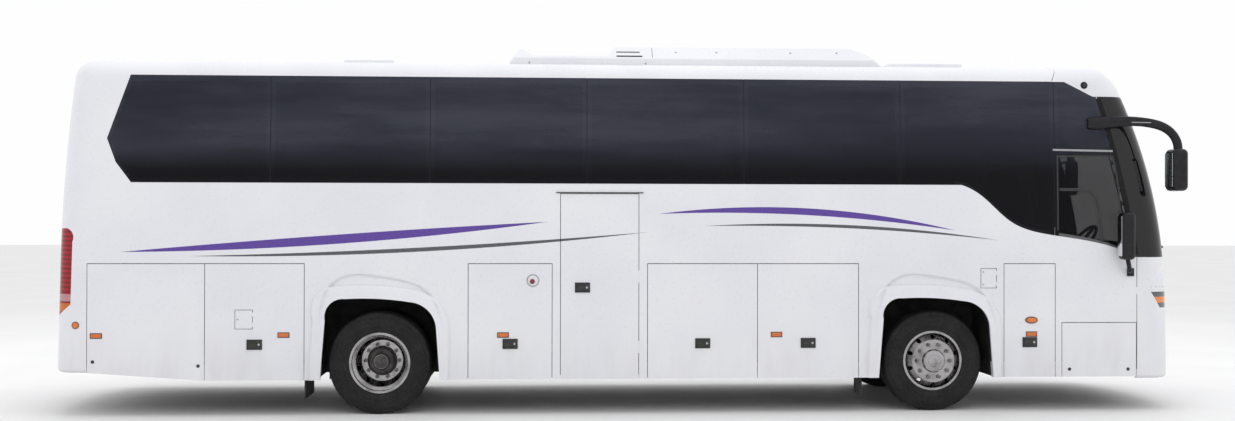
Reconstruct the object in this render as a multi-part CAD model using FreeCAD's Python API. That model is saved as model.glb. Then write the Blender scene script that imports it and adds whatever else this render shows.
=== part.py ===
import FreeCAD, Part
import math
import os

V = FreeCAD.Vector
os.makedirs("parts", exist_ok=True)

# Overall sizes, in millimetres: +X forward, +Y to the coach's left, +Z up, ground at zero
LENGTH = 11456.0
HALF_WIDTH = 1275.0
WHEELBASE = 5540.0
REAR_OVERHANG = 3278.0
FRONT_X = LENGTH / 2
REAR_X = -LENGTH / 2
REAR_AXLE_X = REAR_X + REAR_OVERHANG
FRONT_AXLE_X = REAR_AXLE_X + WHEELBASE

# Body section: upright to the waist seam, a slight tumblehome above it, a crowned roof
SKIRT_Z = 345.0
SEAM_Z = 1486.0
BELT_Z = 2280.0
WINDOW_TOP_Z = 3330.0
CANT_Z = 3386.0
ROOF_Z = 3545.0
SIDE_RADIUS = 28000.0
ROOF_RADIUS = 9000.0
ROOF_EDGE_RADIUS = 190.0
SECTION_TOP_Z = 3800.0
BASE_Z = 100.0

# Front and rear ends, both bowed in plan
FRONT_BOW = 3500.0
FRONT_FOOT_Z = 325.0
FRONT_LEAN = 1.2
FRONT_BEND_Z = 1200.0
SCREEN_RADIUS = 5300.0
SCREEN_END_Z = 3250.0
CAP_RADIUS = 440.0
CAP_END = 60.0
FRONT_CORNER = 245.0
REAR_BOW = 4500.0
REAR_LEAN = 1.2
REAR_RADIUS = 18000.0
REAR_CORNER = 205.0

# Thicknesses and gaps
WALL = 45.0
GLASS = 8.0
PANEL_GAP = 6.0
GLASS_GAP = 6.0
REBATE = 30.0
FIT = 0.3

# Wheels
TYRE_RADIUS = 505.0
TYRE_WIDTH = 290.0
RIM_RADIUS = 299.5
SEAT_RADIUS = 286.0
WELL_RADIUS = 255.0
RIM_HALF = 114.0
FLANGE = 13.0
RIM_WALL = 9.0
DISC_OFFSET = 150.0
DISC_WALL = 14.0
HAND_HOLES = 10
HAND_HOLE_RADIUS = 22.0
FRONT_RIM_INSET = 90.0
REAR_RIM_INSET = 60.0
SPINDLE_RADIUS = 56.0
HUB_RADIUS = 128.0
KINGPIN_Y = 930.0
KINGPIN_RADIUS = 34.0

FRONT_WHEEL_Y = HALF_WIDTH - FRONT_RIM_INSET - RIM_HALF - FLANGE
REAR_OUTER_Y = HALF_WIDTH - REAR_RIM_INSET - RIM_HALF - FLANGE
DUAL_Y = REAR_OUTER_Y - DISC_OFFSET - DISC_WALL
REAR_INNER_Y = DUAL_Y - DISC_OFFSET - DISC_WALL

# Lower side seams, as distances forward of the rear axle
REAR_CORNER_SEAM = REAR_AXLE_X - 2814.0
ENGINE_SIDE_SEAM = REAR_AXLE_X - 1689.0
REAR_ARCH_SEAM_A = REAR_AXLE_X - 729.0
REAR_ARCH_SEAM_B = REAR_AXLE_X + 869.0
MID_POST_A = REAR_AXLE_X + 1696.0
DOOR_REAR = REAR_AXLE_X + 1778.0
DOOR_FRONT = REAR_AXLE_X + 2556.0
MID_POST_B = REAR_AXLE_X + 2643.0
BAY_SEAM = REAR_AXLE_X + 3743.0
FRONT_ARCH_SEAM_A = REAR_AXLE_X + 4763.0
FRONT_ARCH_SEAM_B = FRONT_AXLE_X + 707.0
FRONT_POST_A = FRONT_AXLE_X + 1234.0
FRONT_POST_B = FRONT_AXLE_X + 1303.0
FRONT_CORNER_SEAM = FRONT_AXLE_X + 2072.0
DOOR_TOP_Z = 2180.0
FRONT_FLAP_TOP_Z = 891.0
REAR_SKIRT_Z = 425.0
LEFT_BAYS = 3

# Left entrance door
ENTRANCE_REAR = FRONT_POST_A + 40.0
ENTRANCE_FRONT = FRONT_CORNER_SEAM - 50.0
ENTRANCE_TOP_Z = 2600.0
ENTRANCE_GLASS_Z = 1150.0
ARM_LENGTH = 450.0
ARM_START = -4.0
POST_X = ENTRANCE_FRONT - 110.0
POST_Y = HALF_WIDTH - 145.0

# Glass band: pane joints as distances forward of the rear axle, and its outline's corners
PANE_JOINTS = [-1062.0, 491.0, 2039.0, 3608.0, 5193.0, 6772.0]
BAND_REAR_TIP = (REAR_AXLE_X - 2634.0, 2707.0)
BAND_REAR_TOP = REAR_AXLE_X - 2418.0
BAND_REAR_LOW = REAR_AXLE_X - 2400.0
PILLAR_HALF = 34.0
BELT_DROP = FRONT_AXLE_X + 275.0
SILL_Z = 1552.0
SCREEN_TOP_Z = 3182.0

# Floor levels
FLOOR_Z = 1490.0
FLOOR_WALL = 40.0
CAB_FLOOR_Z = 1040.0
BAY_FLOOR_Z = 385.0
RAIL_Y = 430.0
RAIL_HALF = 30.0
RAIL_Z = 620.0
RAIL_TOP_Z = 820.0
LINER_HALF = 612.0
LINER_TOP_Z = 1172.0
LINER_WALL = 6.0
LINER_INNER_Y = 530.0
LINER_RADIUS = 260.0
AXLE_SLOT = 130.0


def box(x0, x1, y0, y1, z0, z1):
    return Part.makeBox(x1 - x0, y1 - y0, z1 - z0, V(x0, y0, z0))


def segment(a, b):
    return Part.LineSegment(a, b).toShape()


def bend(a, b, c):
    return Part.Arc(a, b, c).toShape()


def prism_y(points, y0, y1):
    """A side outline of (x, z) corners, pulled across the coach."""
    corners = [V(x, y0, z) for x, z in points]
    return Part.Face(Part.makePolygon(corners + corners[:1])).extrude(V(0, y1 - y0, 0))


def prism_x(points, x0, x1):
    """A front outline of (y, z) corners, pulled along the coach."""
    corners = [V(x0, y, z) for y, z in points]
    return Part.Face(Part.makePolygon(corners + corners[:1])).extrude(V(x1 - x0, 0, 0))


def rod(radius, a, b):
    """A round bar from point a to point b."""
    axis = b - a
    return Part.makeCylinder(radius, axis.Length, a, axis)


def mirrored(shape):
    return shape.mirror(V(0, 0, 0), V(0, 1, 0))


def joined(shapes):
    """The shapes as one solid."""
    whole = shapes[0].fuse(shapes[1:]) if len(shapes) > 1 else shapes[0]
    return whole.removeSplitter()


def save(name, shapes):
    """Writes one named piece, made of one or more solids."""
    solids = [solid for shape in shapes for solid in shape.Solids]
    Part.makeCompound(solids).exportStep("parts/" + name + ".step")


def xz(point):
    return V(point[0], 0, point[1])


def spline(points):
    curve = Part.BSplineCurve()
    curve.interpolate([xz(point) for point in points])
    return curve.toShape()


def path(points):
    """Straight edges through (x, z) points."""
    return [segment(xz(a), xz(b)) for a, b in zip(points, points[1:])]


def shifted(point, dx, dz=0.0):
    return point[0] + dx, point[1] + dz


def polar(centre, radius, degrees):
    """A point (r, z) on a circle."""
    angle = math.radians(degrees)
    return centre[0] + radius * math.cos(angle), centre[1] + radius * math.sin(angle)


# The outer form of the body, and the same form set in by a given depth

def section_prism(inset, x0, x1):
    """The cross-section set in by inset, pulled from x0 to x1, with its roof edges still sharp."""
    radius = SIDE_RADIUS - inset
    centre = (HALF_WIDTH - SIDE_RADIUS, SEAM_Z)
    lean = math.degrees(math.asin((SECTION_TOP_Z - SEAM_Z) / radius))
    low = HALF_WIDTH - inset
    mid = polar(centre, radius, lean / 2)
    top = polar(centre, radius, lean)
    edges = [segment(V(x0, -low, BASE_Z), V(x0, low, BASE_Z))]
    edges.append(segment(V(x0, low, BASE_Z), V(x0, low, SEAM_Z)))
    edges.append(bend(V(x0, low, SEAM_Z), V(x0, mid[0], mid[1]), V(x0, top[0], top[1])))
    edges.append(segment(V(x0, top[0], top[1]), V(x0, -top[0], top[1])))
    edges.append(bend(V(x0, -top[0], top[1]), V(x0, -mid[0], mid[1]), V(x0, -low, SEAM_Z)))
    edges.append(segment(V(x0, -low, SEAM_Z), V(x0, -low, BASE_Z)))
    block = Part.Face(Part.Wire(edges)).extrude(V(x1 - x0, 0, 0))
    crown = Part.makeCylinder(ROOF_RADIUS - inset, x1 - x0, V(x0, 0, ROOF_Z - ROOF_RADIUS), V(1, 0, 0))
    return block.common(crown)


def body_prism(inset, x0, x1):
    """The straight middle of the body between two stations, with rounded roof edges."""
    block = section_prism(inset, x0, x1)
    edges = []
    for edge in block.Edges:
        a, b = edge.Vertexes[0].Point, edge.Vertexes[-1].Point
        if abs(a.x - b.x) > 1 and a.z > BELT_Z and b.z > BELT_Z:
            edges.append(edge)
    return block.makeFillet(ROOF_EDGE_RADIUS - inset, edges)


def front_form(inset):
    """The bowed front: bumper and mask lean back a little, the screen curves back to the cap."""
    lean = math.radians(FRONT_LEAN)
    bend_r = FRONT_BOW - (FRONT_BEND_Z - FRONT_FOOT_Z) * math.tan(lean)
    centre = (bend_r - SCREEN_RADIUS * math.cos(lean), FRONT_BEND_Z - SCREEN_RADIUS * math.sin(lean))
    radius = SCREEN_RADIUS - inset
    start = polar(centre, radius, FRONT_LEAN)
    end_angle = math.degrees(math.asin((SCREEN_END_Z - centre[1]) / SCREEN_RADIUS))
    mid = polar(centre, radius, (FRONT_LEAN + end_angle) / 2)
    end = polar(centre, radius, end_angle)
    shrink = math.radians(end_angle)
    cap = (end[0] - (CAP_RADIUS - inset) * math.cos(shrink), end[1] - (CAP_RADIUS - inset) * math.sin(shrink))
    cap_mid = polar(cap, CAP_RADIUS - inset, (end_angle + CAP_END) / 2)
    cap_end = polar(cap, CAP_RADIUS - inset, CAP_END)
    slope = math.radians(CAP_END)
    rise = 2 * CAP_RADIUS
    top = (cap_end[0] - rise * math.sin(slope), cap_end[1] + rise * math.cos(slope))
    base = (start[0] + (start[1] - BASE_Z) * math.tan(lean), BASE_Z)
    edges = path([(0, BASE_Z), base, start])
    edges.append(bend(xz(start), xz(mid), xz(end)))
    edges.append(bend(xz(end), xz(cap_mid), xz(cap_end)))
    edges += path([cap_end, top, (0, top[1]), (0, BASE_Z)])
    form = Part.Face(Part.Wire(edges)).revolve(V(0, 0, 0), V(0, 0, 1), 360)
    form.rotate(V(0, 0, 0), V(0, 0, 1), 180)
    form.translate(V(FRONT_X - FRONT_BOW, 0, 0))
    return form


def rear_form(inset):
    """The bowed rear, upright below and curving forward towards the roof."""
    lean = math.radians(REAR_LEAN)
    bend_r = REAR_BOW - (SEAM_Z - REAR_SKIRT_Z) * math.tan(lean)
    centre = (bend_r - REAR_RADIUS * math.cos(lean), SEAM_Z - REAR_RADIUS * math.sin(lean))
    radius = REAR_RADIUS - inset
    start = (centre[0] + math.sqrt(radius * radius - (SEAM_Z - centre[1]) ** 2), SEAM_Z)
    first = math.degrees(math.asin((SEAM_Z - centre[1]) / radius))
    last = math.degrees(math.asin((SECTION_TOP_Z - centre[1]) / radius))
    mid = polar(centre, radius, (first + last) / 2)
    end = polar(centre, radius, last)
    base = (start[0] + (SEAM_Z - BASE_Z) * math.tan(lean), BASE_Z)
    edges = path([(0, BASE_Z), base, start])
    edges.append(bend(xz(start), xz(mid), xz(end)))
    edges += path([end, (0, end[1]), (0, BASE_Z)])
    form = Part.Face(Part.Wire(edges)).revolve(V(0, 0, 0), V(0, 0, 1), 360)
    form.translate(V(REAR_X + REAR_BOW, 0, 0))
    return form


def follows_section(face):
    """Whether a face runs straight along the coach, as the sides and the roof do."""
    surface = face.Surface
    if isinstance(surface, Part.Plane):
        return abs(abs(surface.Axis.y) - 1) < 1e-6
    return isinstance(surface, Part.Cylinder) and abs(abs(surface.Axis.x) - 1) < 1e-6


def end_body(inset, form, x0, x1, corner):
    """One end of the body: the section met by the bowed form, with one soft edge right round."""
    block = body_prism(inset, x0, x1).common(form).removeSplitter().Solids[0]
    sides = [edge for face in block.Faces if follows_section(face) for edge in face.Edges]
    bowed = [face for face in block.Faces if not follows_section(face)]
    bowed = [edge for face in bowed if not isinstance(face.Surface, Part.Plane) for edge in face.Edges]
    meets = []
    for edge in block.Edges:
        if any(edge.isSame(other) for other in sides) and any(edge.isSame(other) for other in bowed):
            meets.append(edge)
    return block.makeFillet(corner - inset, meets)


FRONT_CUT = FRONT_AXLE_X + 700.0
REAR_CUT = REAR_AXLE_X - 2300.0


def front_body(inset):
    return end_body(inset, front_form(inset), FRONT_CUT, FRONT_X + 500.0, FRONT_CORNER)


def rear_body(inset):
    return end_body(inset, rear_form(inset), REAR_X - 500.0, REAR_CUT, REAR_CORNER)


def middle_shell(inset):
    """The straight walls and roof between the two cuts, from the outer face to a given depth."""
    return body_prism(0.0, REAR_CUT, FRONT_CUT).cut(body_prism(inset, REAR_CUT, FRONT_CUT))


# The whole outer shell in three lengths, once at wall thickness and once at glass thickness

FRONT_INNER = front_body(WALL)
REAR_INNER = rear_body(WALL)
FRONT_OUTER = front_body(0.0)
REAR_OUTER = rear_body(0.0)
FRONT_WALL = FRONT_OUTER.cut(FRONT_INNER)
REAR_WALL = REAR_OUTER.cut(REAR_INNER)
MIDDLE_WALL = middle_shell(WALL)
FRONT_SKIN = FRONT_OUTER.cut(front_body(GLASS))
REAR_SKIN = REAR_OUTER.cut(rear_body(GLASS))
MIDDLE_SKIN = middle_shell(GLASS)
SHELL = FRONT_WALL.fuse([MIDDLE_WALL, REAR_WALL]).removeSplitter()
SKIN = FRONT_SKIN.fuse([MIDDLE_SKIN, REAR_SKIN]).removeSplitter()
INNER = FRONT_INNER.fuse([body_prism(WALL, REAR_CUT, FRONT_CUT), REAR_INNER]).removeSplitter()
FORM = FRONT_OUTER.fuse([body_prism(0.0, REAR_CUT, FRONT_CUT), REAR_OUTER]).removeSplitter()

HIGH = 4000.0
FAR = 7000.0
RIGHT = (-HALF_WIDTH - 50.0, -HALF_WIDTH + 330.0)
LEFT = (HALF_WIDTH - 330.0, HALF_WIDTH + 50.0)
ACROSS = (-HALF_WIDTH - 50.0, HALF_WIDTH + 50.0)
HALF_GAP = PANEL_GAP / 2
MASK_X = FRONT_CORNER_SEAM + HALF_GAP
BONNET_Z = 1247.0
BUMPER_DROP = SKIRT_Z - FRONT_FOOT_Z
CAP_SEAM_LOW = (FRONT_AXLE_X + 1215.0, WINDOW_TOP_Z)
CAP_SEAM_TOP = (FRONT_AXLE_X + 1278.0, 3468.0)
CAP_LINE = [(FRONT_AXLE_X + 1346.0, WINDOW_TOP_Z), (FRONT_AXLE_X + 1637.0, SCREEN_TOP_Z)]
PILLAR_TOP = (FRONT_AXLE_X + 1678.0, SCREEN_TOP_Z)
PILLAR_MID = (FRONT_AXLE_X + 1840.0, 2595.0)
PILLAR_LOW = (FRONT_AXLE_X + 2059.0, SILL_Z)
REAR_EDGE = REAR_CORNER_SEAM - HALF_GAP
REAR_SEAM = [(REAR_EDGE, BASE_Z), (REAR_EDGE, SEAM_Z), (REAR_CORNER_SEAM + 54.0, CANT_Z)]


def y_wire(parts, y0, y1):
    """A closed outline of edges drawn at y = 0, pulled from y0 to y1."""
    solid = Part.Face(Part.Wire(parts)).extrude(V(0, y1 - y0, 0))
    solid.translate(V(0, y0, 0))
    return solid


# Zones of the body as seen from the side

def rear_zone():
    points = [(-FAR, BASE_Z)] + REAR_SEAM + [(REAR_SEAM[-1][0], HIGH), (-FAR, HIGH)]
    return prism_y(points, *ACROSS)


def cap_zone():
    points = [CAP_SEAM_LOW] + CAP_LINE + [(FAR, SCREEN_TOP_Z), (FAR, HIGH)]
    points += [(CAP_SEAM_TOP[0], HIGH), CAP_SEAM_TOP]
    return prism_y(points, *ACROSS)


def pillar_edge(shift):
    """The line between the side glass and the wrapped windscreen, from the top down."""
    points = [shifted(p, shift) for p in (PILLAR_TOP, PILLAR_MID, PILLAR_LOW)]
    return bend(*[xz(p) for p in points]), points[0], points[2]


def screen_zone(shift, margin):
    edge, top, low = pillar_edge(shift)
    high, sill = SCREEN_TOP_Z - margin, SILL_Z + margin
    parts = [edge] + path([low, (FAR, SILL_Z), (FAR, SCREEN_TOP_Z), top])
    return y_wire(parts, *ACROSS).common(box(0, FAR, ACROSS[0], ACROSS[1], sill, high))


def mask_zone():
    return box(MASK_X, FAR, ACROSS[0], ACROSS[1], BONNET_Z, SILL_Z)


def bumper_zone():
    return box(MASK_X, FAR, ACROSS[0], ACROSS[1], SKIRT_Z - BUMPER_DROP, BONNET_Z)


def lid_slab(x0, x1, z0, z1, side):
    """The upright wall's whole thickness between four seams, less half a gap at each end."""
    slab = box(x0 + HALF_GAP, x1 - HALF_GAP, -HALF_WIDTH, -HALF_WIDTH + WALL, z0, z1)
    return slab if side == RIGHT else mirrored(slab)


def gap_box(x0, x1, z0, z1, side):
    return box(x0 - HALF_GAP, x1 + HALF_GAP, side[0], side[1], z0, z1)


# Glass band outline, with the belt sweeping down beside the driver

def band_parts(margin):
    edge, top, low = pillar_edge(-GLASS_GAP - margin)
    high = WINDOW_TOP_Z - margin
    sill = BELT_Z + margin
    tip = shifted(BAND_REAR_TIP, margin * 1.1)
    rear_top = (BAND_REAR_TOP + margin * 0.6, high)
    rear_low = (BAND_REAR_LOW + margin * 0.4, sill)
    rear_mid = (BAND_REAR_LOW - 147.0 + margin * 0.9, BELT_Z + 194.0)
    sweep = [(FRONT_AXLE_X + 1283.0, 1765.0), (FRONT_AXLE_X + 788.0, 1906.0), (FRONT_AXLE_X + 460.0, 2187.0)]
    sweep = [(low[0], low[1] + 12.0)] + sweep + [(BELT_DROP, BELT_Z)]
    sweep = [shifted(p, 0.0, margin) for p in sweep]
    cap = [shifted(CAP_LINE[0], -margin * 0.2, -margin), shifted(CAP_LINE[1], -margin * 0.4, -margin)]
    top = (top[0] + margin * 0.2, SCREEN_TOP_Z - margin - 4.0)
    side = [bend(xz(top), xz(shifted(PILLAR_MID, -GLASS_GAP - margin)), xz(sweep[0]))]
    parts = path([rear_top] + cap + [top]) + side + [spline(sweep)]
    parts += path([sweep[-1], rear_low, rear_mid, tip, rear_top])
    return parts


def band(margin, side):
    return y_wire(band_parts(margin), *side)


def joint_x():
    return [REAR_AXLE_X + joint for joint in PANE_JOINTS]


def glass_panes(side, zone):
    """The flush panes of one side, parted at each joint."""
    panes = SKIN.common(zone)
    for x in joint_x():
        panes = panes.cut(box(x - GLASS_GAP / 2, x + GLASS_GAP / 2, side[0], side[1], 0, HIGH))
    return panes


def window_cuts(side):
    """What is cut from a side wall behind its glass: the rebate, and an opening for each pane."""
    pockets = band(REBATE, side)
    for x in joint_x():
        pockets = pockets.cut(box(x - PILLAR_HALF, x + PILLAR_HALF, side[0], side[1], 0, HIGH))
    return [SKIN.common(band(-2.0, side)), pockets]


# Wheel arches

LIP_WALL = 24.0
LIP_FADE = 20.0
LIP_WIDTH = 130.0
LIP_REACH = 690.0


def arch_parts(axle_x, grow):
    """The arch outline about an axle: flat crown, a tight rear corner and a softer front one."""
    left, right = -590.0 - grow, 608.0 + grow
    floor = BASE_Z + 50.0
    a = (axle_x + left, floor)
    b = (axle_x + left + 62.0, 930.0)
    c = (axle_x + left + 95.0, 1072.0 + grow * 0.7)
    d = (axle_x - 335.0 - grow * 0.6, 1140.0 + grow)
    e = (axle_x + 20.0, 1140.0 + grow)
    f = (axle_x + 300.0, 1109.0 + grow)
    g = (axle_x + 490.0 + grow * 0.7, 1012.0 + grow * 0.7)
    h = (axle_x + 556.0 + grow, 850.0)
    i = (axle_x + right, floor)
    parts = path([a, b]) + [bend(xz(b), xz(c), xz(d)), bend(xz(d), xz(e), xz(f)), bend(xz(f), xz(g), xz(h))]
    return parts + path([h, i, a])


def arch_opening(axle_x, side):
    return y_wire(arch_parts(axle_x, 0.0), *side)


def arch_flare(axle_x):
    """The raised lip round an arch on the right side, fading out at its outer edge."""
    thick = LIP_WALL
    y = -HALF_WIDTH - thick
    raised = y_wire(arch_parts(axle_x, LIP_WIDTH), y, -HALF_WIDTH)
    raised = raised.cut(y_wire(arch_parts(axle_x, 0.0), y - 5.0, 0.0))
    raised = raised.common(box(axle_x - LIP_REACH, axle_x + LIP_REACH, y - 1.0, 0.0, SKIRT_Z, HIGH))
    outer = [edge for edge in raised.Edges if all(abs(v.Point.y - y) < 0.1 for v in edge.Vertexes)]
    outline = y_wire(arch_parts(axle_x, LIP_WIDTH), y, y + 1.0)
    soft = []
    for edge in outer:
        mid = edge.valueAt((edge.FirstParameter + edge.LastParameter) / 2)
        if outline.distToShape(Part.Vertex(mid))[0] < 0.1 and mid.z > SKIRT_Z + 1:
            if min(Part.Vertex(mid).distToShape(e)[0] for e in outline.Edges) < 2.0:
                soft.append(edge)
    return raised.makeChamfer(LIP_FADE, soft)


# Fixed side walls

RIGHT_LIDS = [
    ("rear_lid_right", REAR_CORNER_SEAM, ENGINE_SIDE_SEAM, SEAM_Z),
    ("engine_side_lid_right", ENGINE_SIDE_SEAM, REAR_ARCH_SEAM_A, SEAM_Z),
    ("bay_lid_right_1", REAR_ARCH_SEAM_B, MID_POST_A, SEAM_Z),
    ("bay_lid_right_2", MID_POST_B, BAY_SEAM, SEAM_Z),
    ("bay_lid_right_3", BAY_SEAM, FRONT_ARCH_SEAM_A, SEAM_Z),
    ("locker_lid_right", FRONT_ARCH_SEAM_B, FRONT_POST_A, SEAM_Z),
    ("front_lid_right", FRONT_POST_B, FRONT_CORNER_SEAM, FRONT_FLAP_TOP_Z),
]
LEFT_STEP = (FRONT_ARCH_SEAM_A - REAR_ARCH_SEAM_B) / LEFT_BAYS
LEFT_LIDS = [
    ("rear_lid_left", REAR_CORNER_SEAM, ENGINE_SIDE_SEAM, SEAM_Z),
    ("engine_side_lid_left", ENGINE_SIDE_SEAM, REAR_ARCH_SEAM_A, SEAM_Z),
]
for number in range(LEFT_BAYS):
    start = REAR_ARCH_SEAM_B + number * LEFT_STEP
    LEFT_LIDS.append(("bay_lid_left_" + str(number + 1), start, start + LEFT_STEP, SEAM_Z))


def skirt_slope(side):
    """What lies below the skirt, which rises behind the rear wheels."""
    points = [(-FAR, BASE_Z - 1), (FAR, BASE_Z - 1), (FAR, SKIRT_Z), (ENGINE_SIDE_SEAM, SKIRT_Z)]
    points += [(REAR_CORNER_SEAM, REAR_SKIRT_Z), (-FAR, REAR_SKIRT_Z)]
    return prism_y(points, *side)


def side_zone(side):
    """The part of the shell that is side wall."""
    zone = box(-FAR, FAR, side[0], side[1], BASE_Z, CANT_Z)
    whole = SHELL.common(zone)
    for other in (rear_zone(), cap_zone(), screen_zone(0.0, 0.0), mask_zone()):
        whole = whole.cut(other)
    return whole.cut(box(MASK_X, FAR, side[0], side[1], BASE_Z, BONNET_Z)).cut(skirt_slope(side))


def entrance_points(grow):
    """The entrance door's outline, its front edge following the windscreen pillar."""
    lean_low = (ENTRANCE_FRONT + grow, 1500.0)
    lean_top = (PILLAR_MID[0] - 62.0 + grow, ENTRANCE_TOP_Z + grow)
    foot = SKIRT_Z + 15.0 if grow == 0 else BASE_Z
    points = [(ENTRANCE_REAR - grow, foot), (ENTRANCE_FRONT + grow, foot), lean_low, lean_top]
    return points + [(ENTRANCE_REAR - grow, ENTRANCE_TOP_Z + grow)]


def right_wall():
    wall = side_zone(RIGHT)
    for name, x0, x1, top in RIGHT_LIDS:
        wall = wall.cut(gap_box(x0, x1, BASE_Z - 5, top + HALF_GAP, RIGHT))
    wall = wall.cut(gap_box(DOOR_REAR, DOOR_FRONT, BASE_Z - 5, DOOR_TOP_Z + HALF_GAP, RIGHT))
    for cut in window_cuts(RIGHT) + [arch_opening(REAR_AXLE_X, RIGHT), arch_opening(FRONT_AXLE_X, RIGHT)]:
        wall = wall.cut(cut)
    return wall


def left_wall():
    wall = side_zone(LEFT)
    for name, x0, x1, top in LEFT_LIDS:
        wall = wall.cut(gap_box(x0, x1, BASE_Z - 5, top + HALF_GAP, LEFT))
    wall = wall.cut(prism_y(entrance_points(PANEL_GAP), *LEFT))
    for cut in window_cuts(LEFT) + [arch_opening(REAR_AXLE_X, LEFT), arch_opening(FRONT_AXLE_X, LEFT)]:
        wall = wall.cut(cut)
    return wall


# Lids and doors of the sides

LATCH = (150.0, 100.0, 8.0)
LATCH_Z = 695.0


HINGE_LENGTH = 120.0
HINGE_WALL = 3.0
BITE = 1.0


def latch(x, z, side):
    """The black paddle latch, a little proud of its panel."""
    y = -HALF_WIDTH
    paddle = box(x - LATCH[0] / 2, x + LATCH[0] / 2, y - LATCH[2], y, z - LATCH[1] / 2, z + LATCH[1] / 2)
    return paddle if side == RIGHT else mirrored(paddle)


def top_hinges(x0, x1, z, side):
    """The hinge leaves along a lid's top edge: those of the lid, then those of the wall above."""
    y0, y1 = -HALF_WIDTH, -HALF_WIDTH + HINGE_WALL
    inset = (x1 - x0) * 0.2
    lids = []
    walls = []
    for x in (x0 + inset, x1 - inset):
        a, b = x - HINGE_LENGTH / 2, x + HINGE_LENGTH / 2
        lids.append(box(a, b, y0, y1, z - HALF_GAP - BITE, z - FIT))
        walls.append(box(a, b, y0, y1, z, z + HALF_GAP + BITE))
    if side == LEFT:
        lids, walls = [mirrored(leaf) for leaf in lids], [mirrored(leaf) for leaf in walls]
    return lids, walls


def front_hinges(x, levels):
    """Upright hinge leaves on the right at a front edge: those of the door, then those of the wall."""
    y0, y1 = -HALF_WIDTH, -HALF_WIDTH + HINGE_WALL
    doors = [box(x - HALF_GAP - BITE, x - FIT, y0, y1, a, b) for a, b in levels]
    walls = [box(x, x + HALF_GAP + BITE, y0, y1, a, b) for a, b in levels]
    return doors, walls


def side_lid(name, x0, x1, top, side):
    """A lid hinged at its top edge, cut to the skirt line, with its latch."""
    panel = lid_slab(x0, x1, BASE_Z, top - HALF_GAP, side).cut(skirt_slope(side))
    pieces = [panel] + top_hinges(x0, x1, top, side)[0]
    if not name.startswith(("rear_lid", "front_lid")):
        pieces.append(latch((x0 + x1) / 2, LATCH_Z, side))
    return joined(pieces)


MID_DOOR_HINGES = ((600.0, 720.0), (1300.0, 1420.0))


def mid_door():
    """The centre door, hinged at its front edge."""
    top = DOOR_TOP_Z - HALF_GAP
    zone = box(DOOR_REAR + HALF_GAP, DOOR_FRONT - HALF_GAP, RIGHT[0], RIGHT[1], SKIRT_Z, top)
    hinges = front_hinges(DOOR_FRONT, MID_DOOR_HINGES)[0]
    return joined([MIDDLE_WALL.common(zone), latch(DOOR_REAR + 218.0, 1250.0, RIGHT)] + hinges)


FUEL_FLAP = (REAR_AXLE_X - 1397.0, REAR_AXLE_X - 1227.0, 848.0, 1034.0)
WATER_FLAP = (FRONT_AXLE_X + 470.0, FRONT_AXLE_X + 629.0, 1241.0, 1437.0)
FLAP_DEPTH = 14.0
FLAP_CLEARANCE = 8.0


def flap_pocket(edges):
    x0, x1, z0, z1 = edges
    y1 = -HALF_WIDTH + FLAP_DEPTH + FLAP_CLEARANCE
    return box(x0 - HALF_GAP, x1 + HALF_GAP, RIGHT[0], y1, z0 - HALF_GAP, z1 + HALF_GAP)


def small_flap(edges):
    """A small flap hinged at its front edge, let into the panel's outer face."""
    x0, x1, z0, z1 = edges
    y0, y1 = -HALF_WIDTH, -HALF_WIDTH + FLAP_DEPTH
    plate = box(x0 + HALF_GAP, x1 - HALF_GAP, y0, y1, z0 + HALF_GAP, z1 - HALF_GAP)
    return joined([plate] + front_hinges(x1, flap_hinges(edges))[0])


def flap_hinges(edges):
    return ((edges[2] + 25.0, edges[2] + 65.0), (edges[3] - 65.0, edges[3] - 25.0))


# Left entrance door: the leaf stays parallel to the side while two arms swing it out and forward

ARM_Z = (560.0, 1060.0)
ARM_HALF = 20.0
POST_RADIUS = 24.0
LEAF_X = POST_X - ARM_LENGTH * math.cos(math.radians(ARM_START))
LEAF_Y = POST_Y + ARM_LENGTH * math.sin(math.radians(ARM_START))
PIN_RADIUS = 12.0
EYE_OUTER = 28.0
POST_TOP_Z = 1160.0
STEP_Z = SKIRT_Z + 60.0


def door_glass_outline(grow):
    points = [(ENTRANCE_REAR + 55.0 - grow, ENTRANCE_GLASS_Z - grow)]
    points.append((ENTRANCE_FRONT - 62.0 + grow, ENTRANCE_GLASS_Z - grow))
    points.append((ENTRANCE_FRONT - 66.0 + grow, 1500.0))
    points.append((PILLAR_MID[0] - 132.0 + grow, ENTRANCE_TOP_Z - 55.0 + grow))
    points.append((ENTRANCE_REAR + 55.0 - grow, ENTRANCE_TOP_Z - 55.0 + grow))
    return points


def entrance_leaf():
    leaf = SHELL.common(prism_y(entrance_points(0.0), *LEFT))
    leaf = leaf.cut(SKIN.common(prism_y(door_glass_outline(0.0), *LEFT)))
    leaf = leaf.cut(prism_y(door_glass_outline(-REBATE), *LEFT))
    lugs = []
    for z in ARM_Z:
        for low in (z - 50.0, z + 26.0):
            lugs.append(box(LEAF_X - 30, LEAF_X + 30, LEAF_Y - 26, HALF_WIDTH - WALL, low, low + 24.0))
        lugs.append(rod(PIN_RADIUS, V(LEAF_X, LEAF_Y, z - 50.0), V(LEAF_X, LEAF_Y, z + 50.0)))
    return joined([leaf] + lugs)


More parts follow.
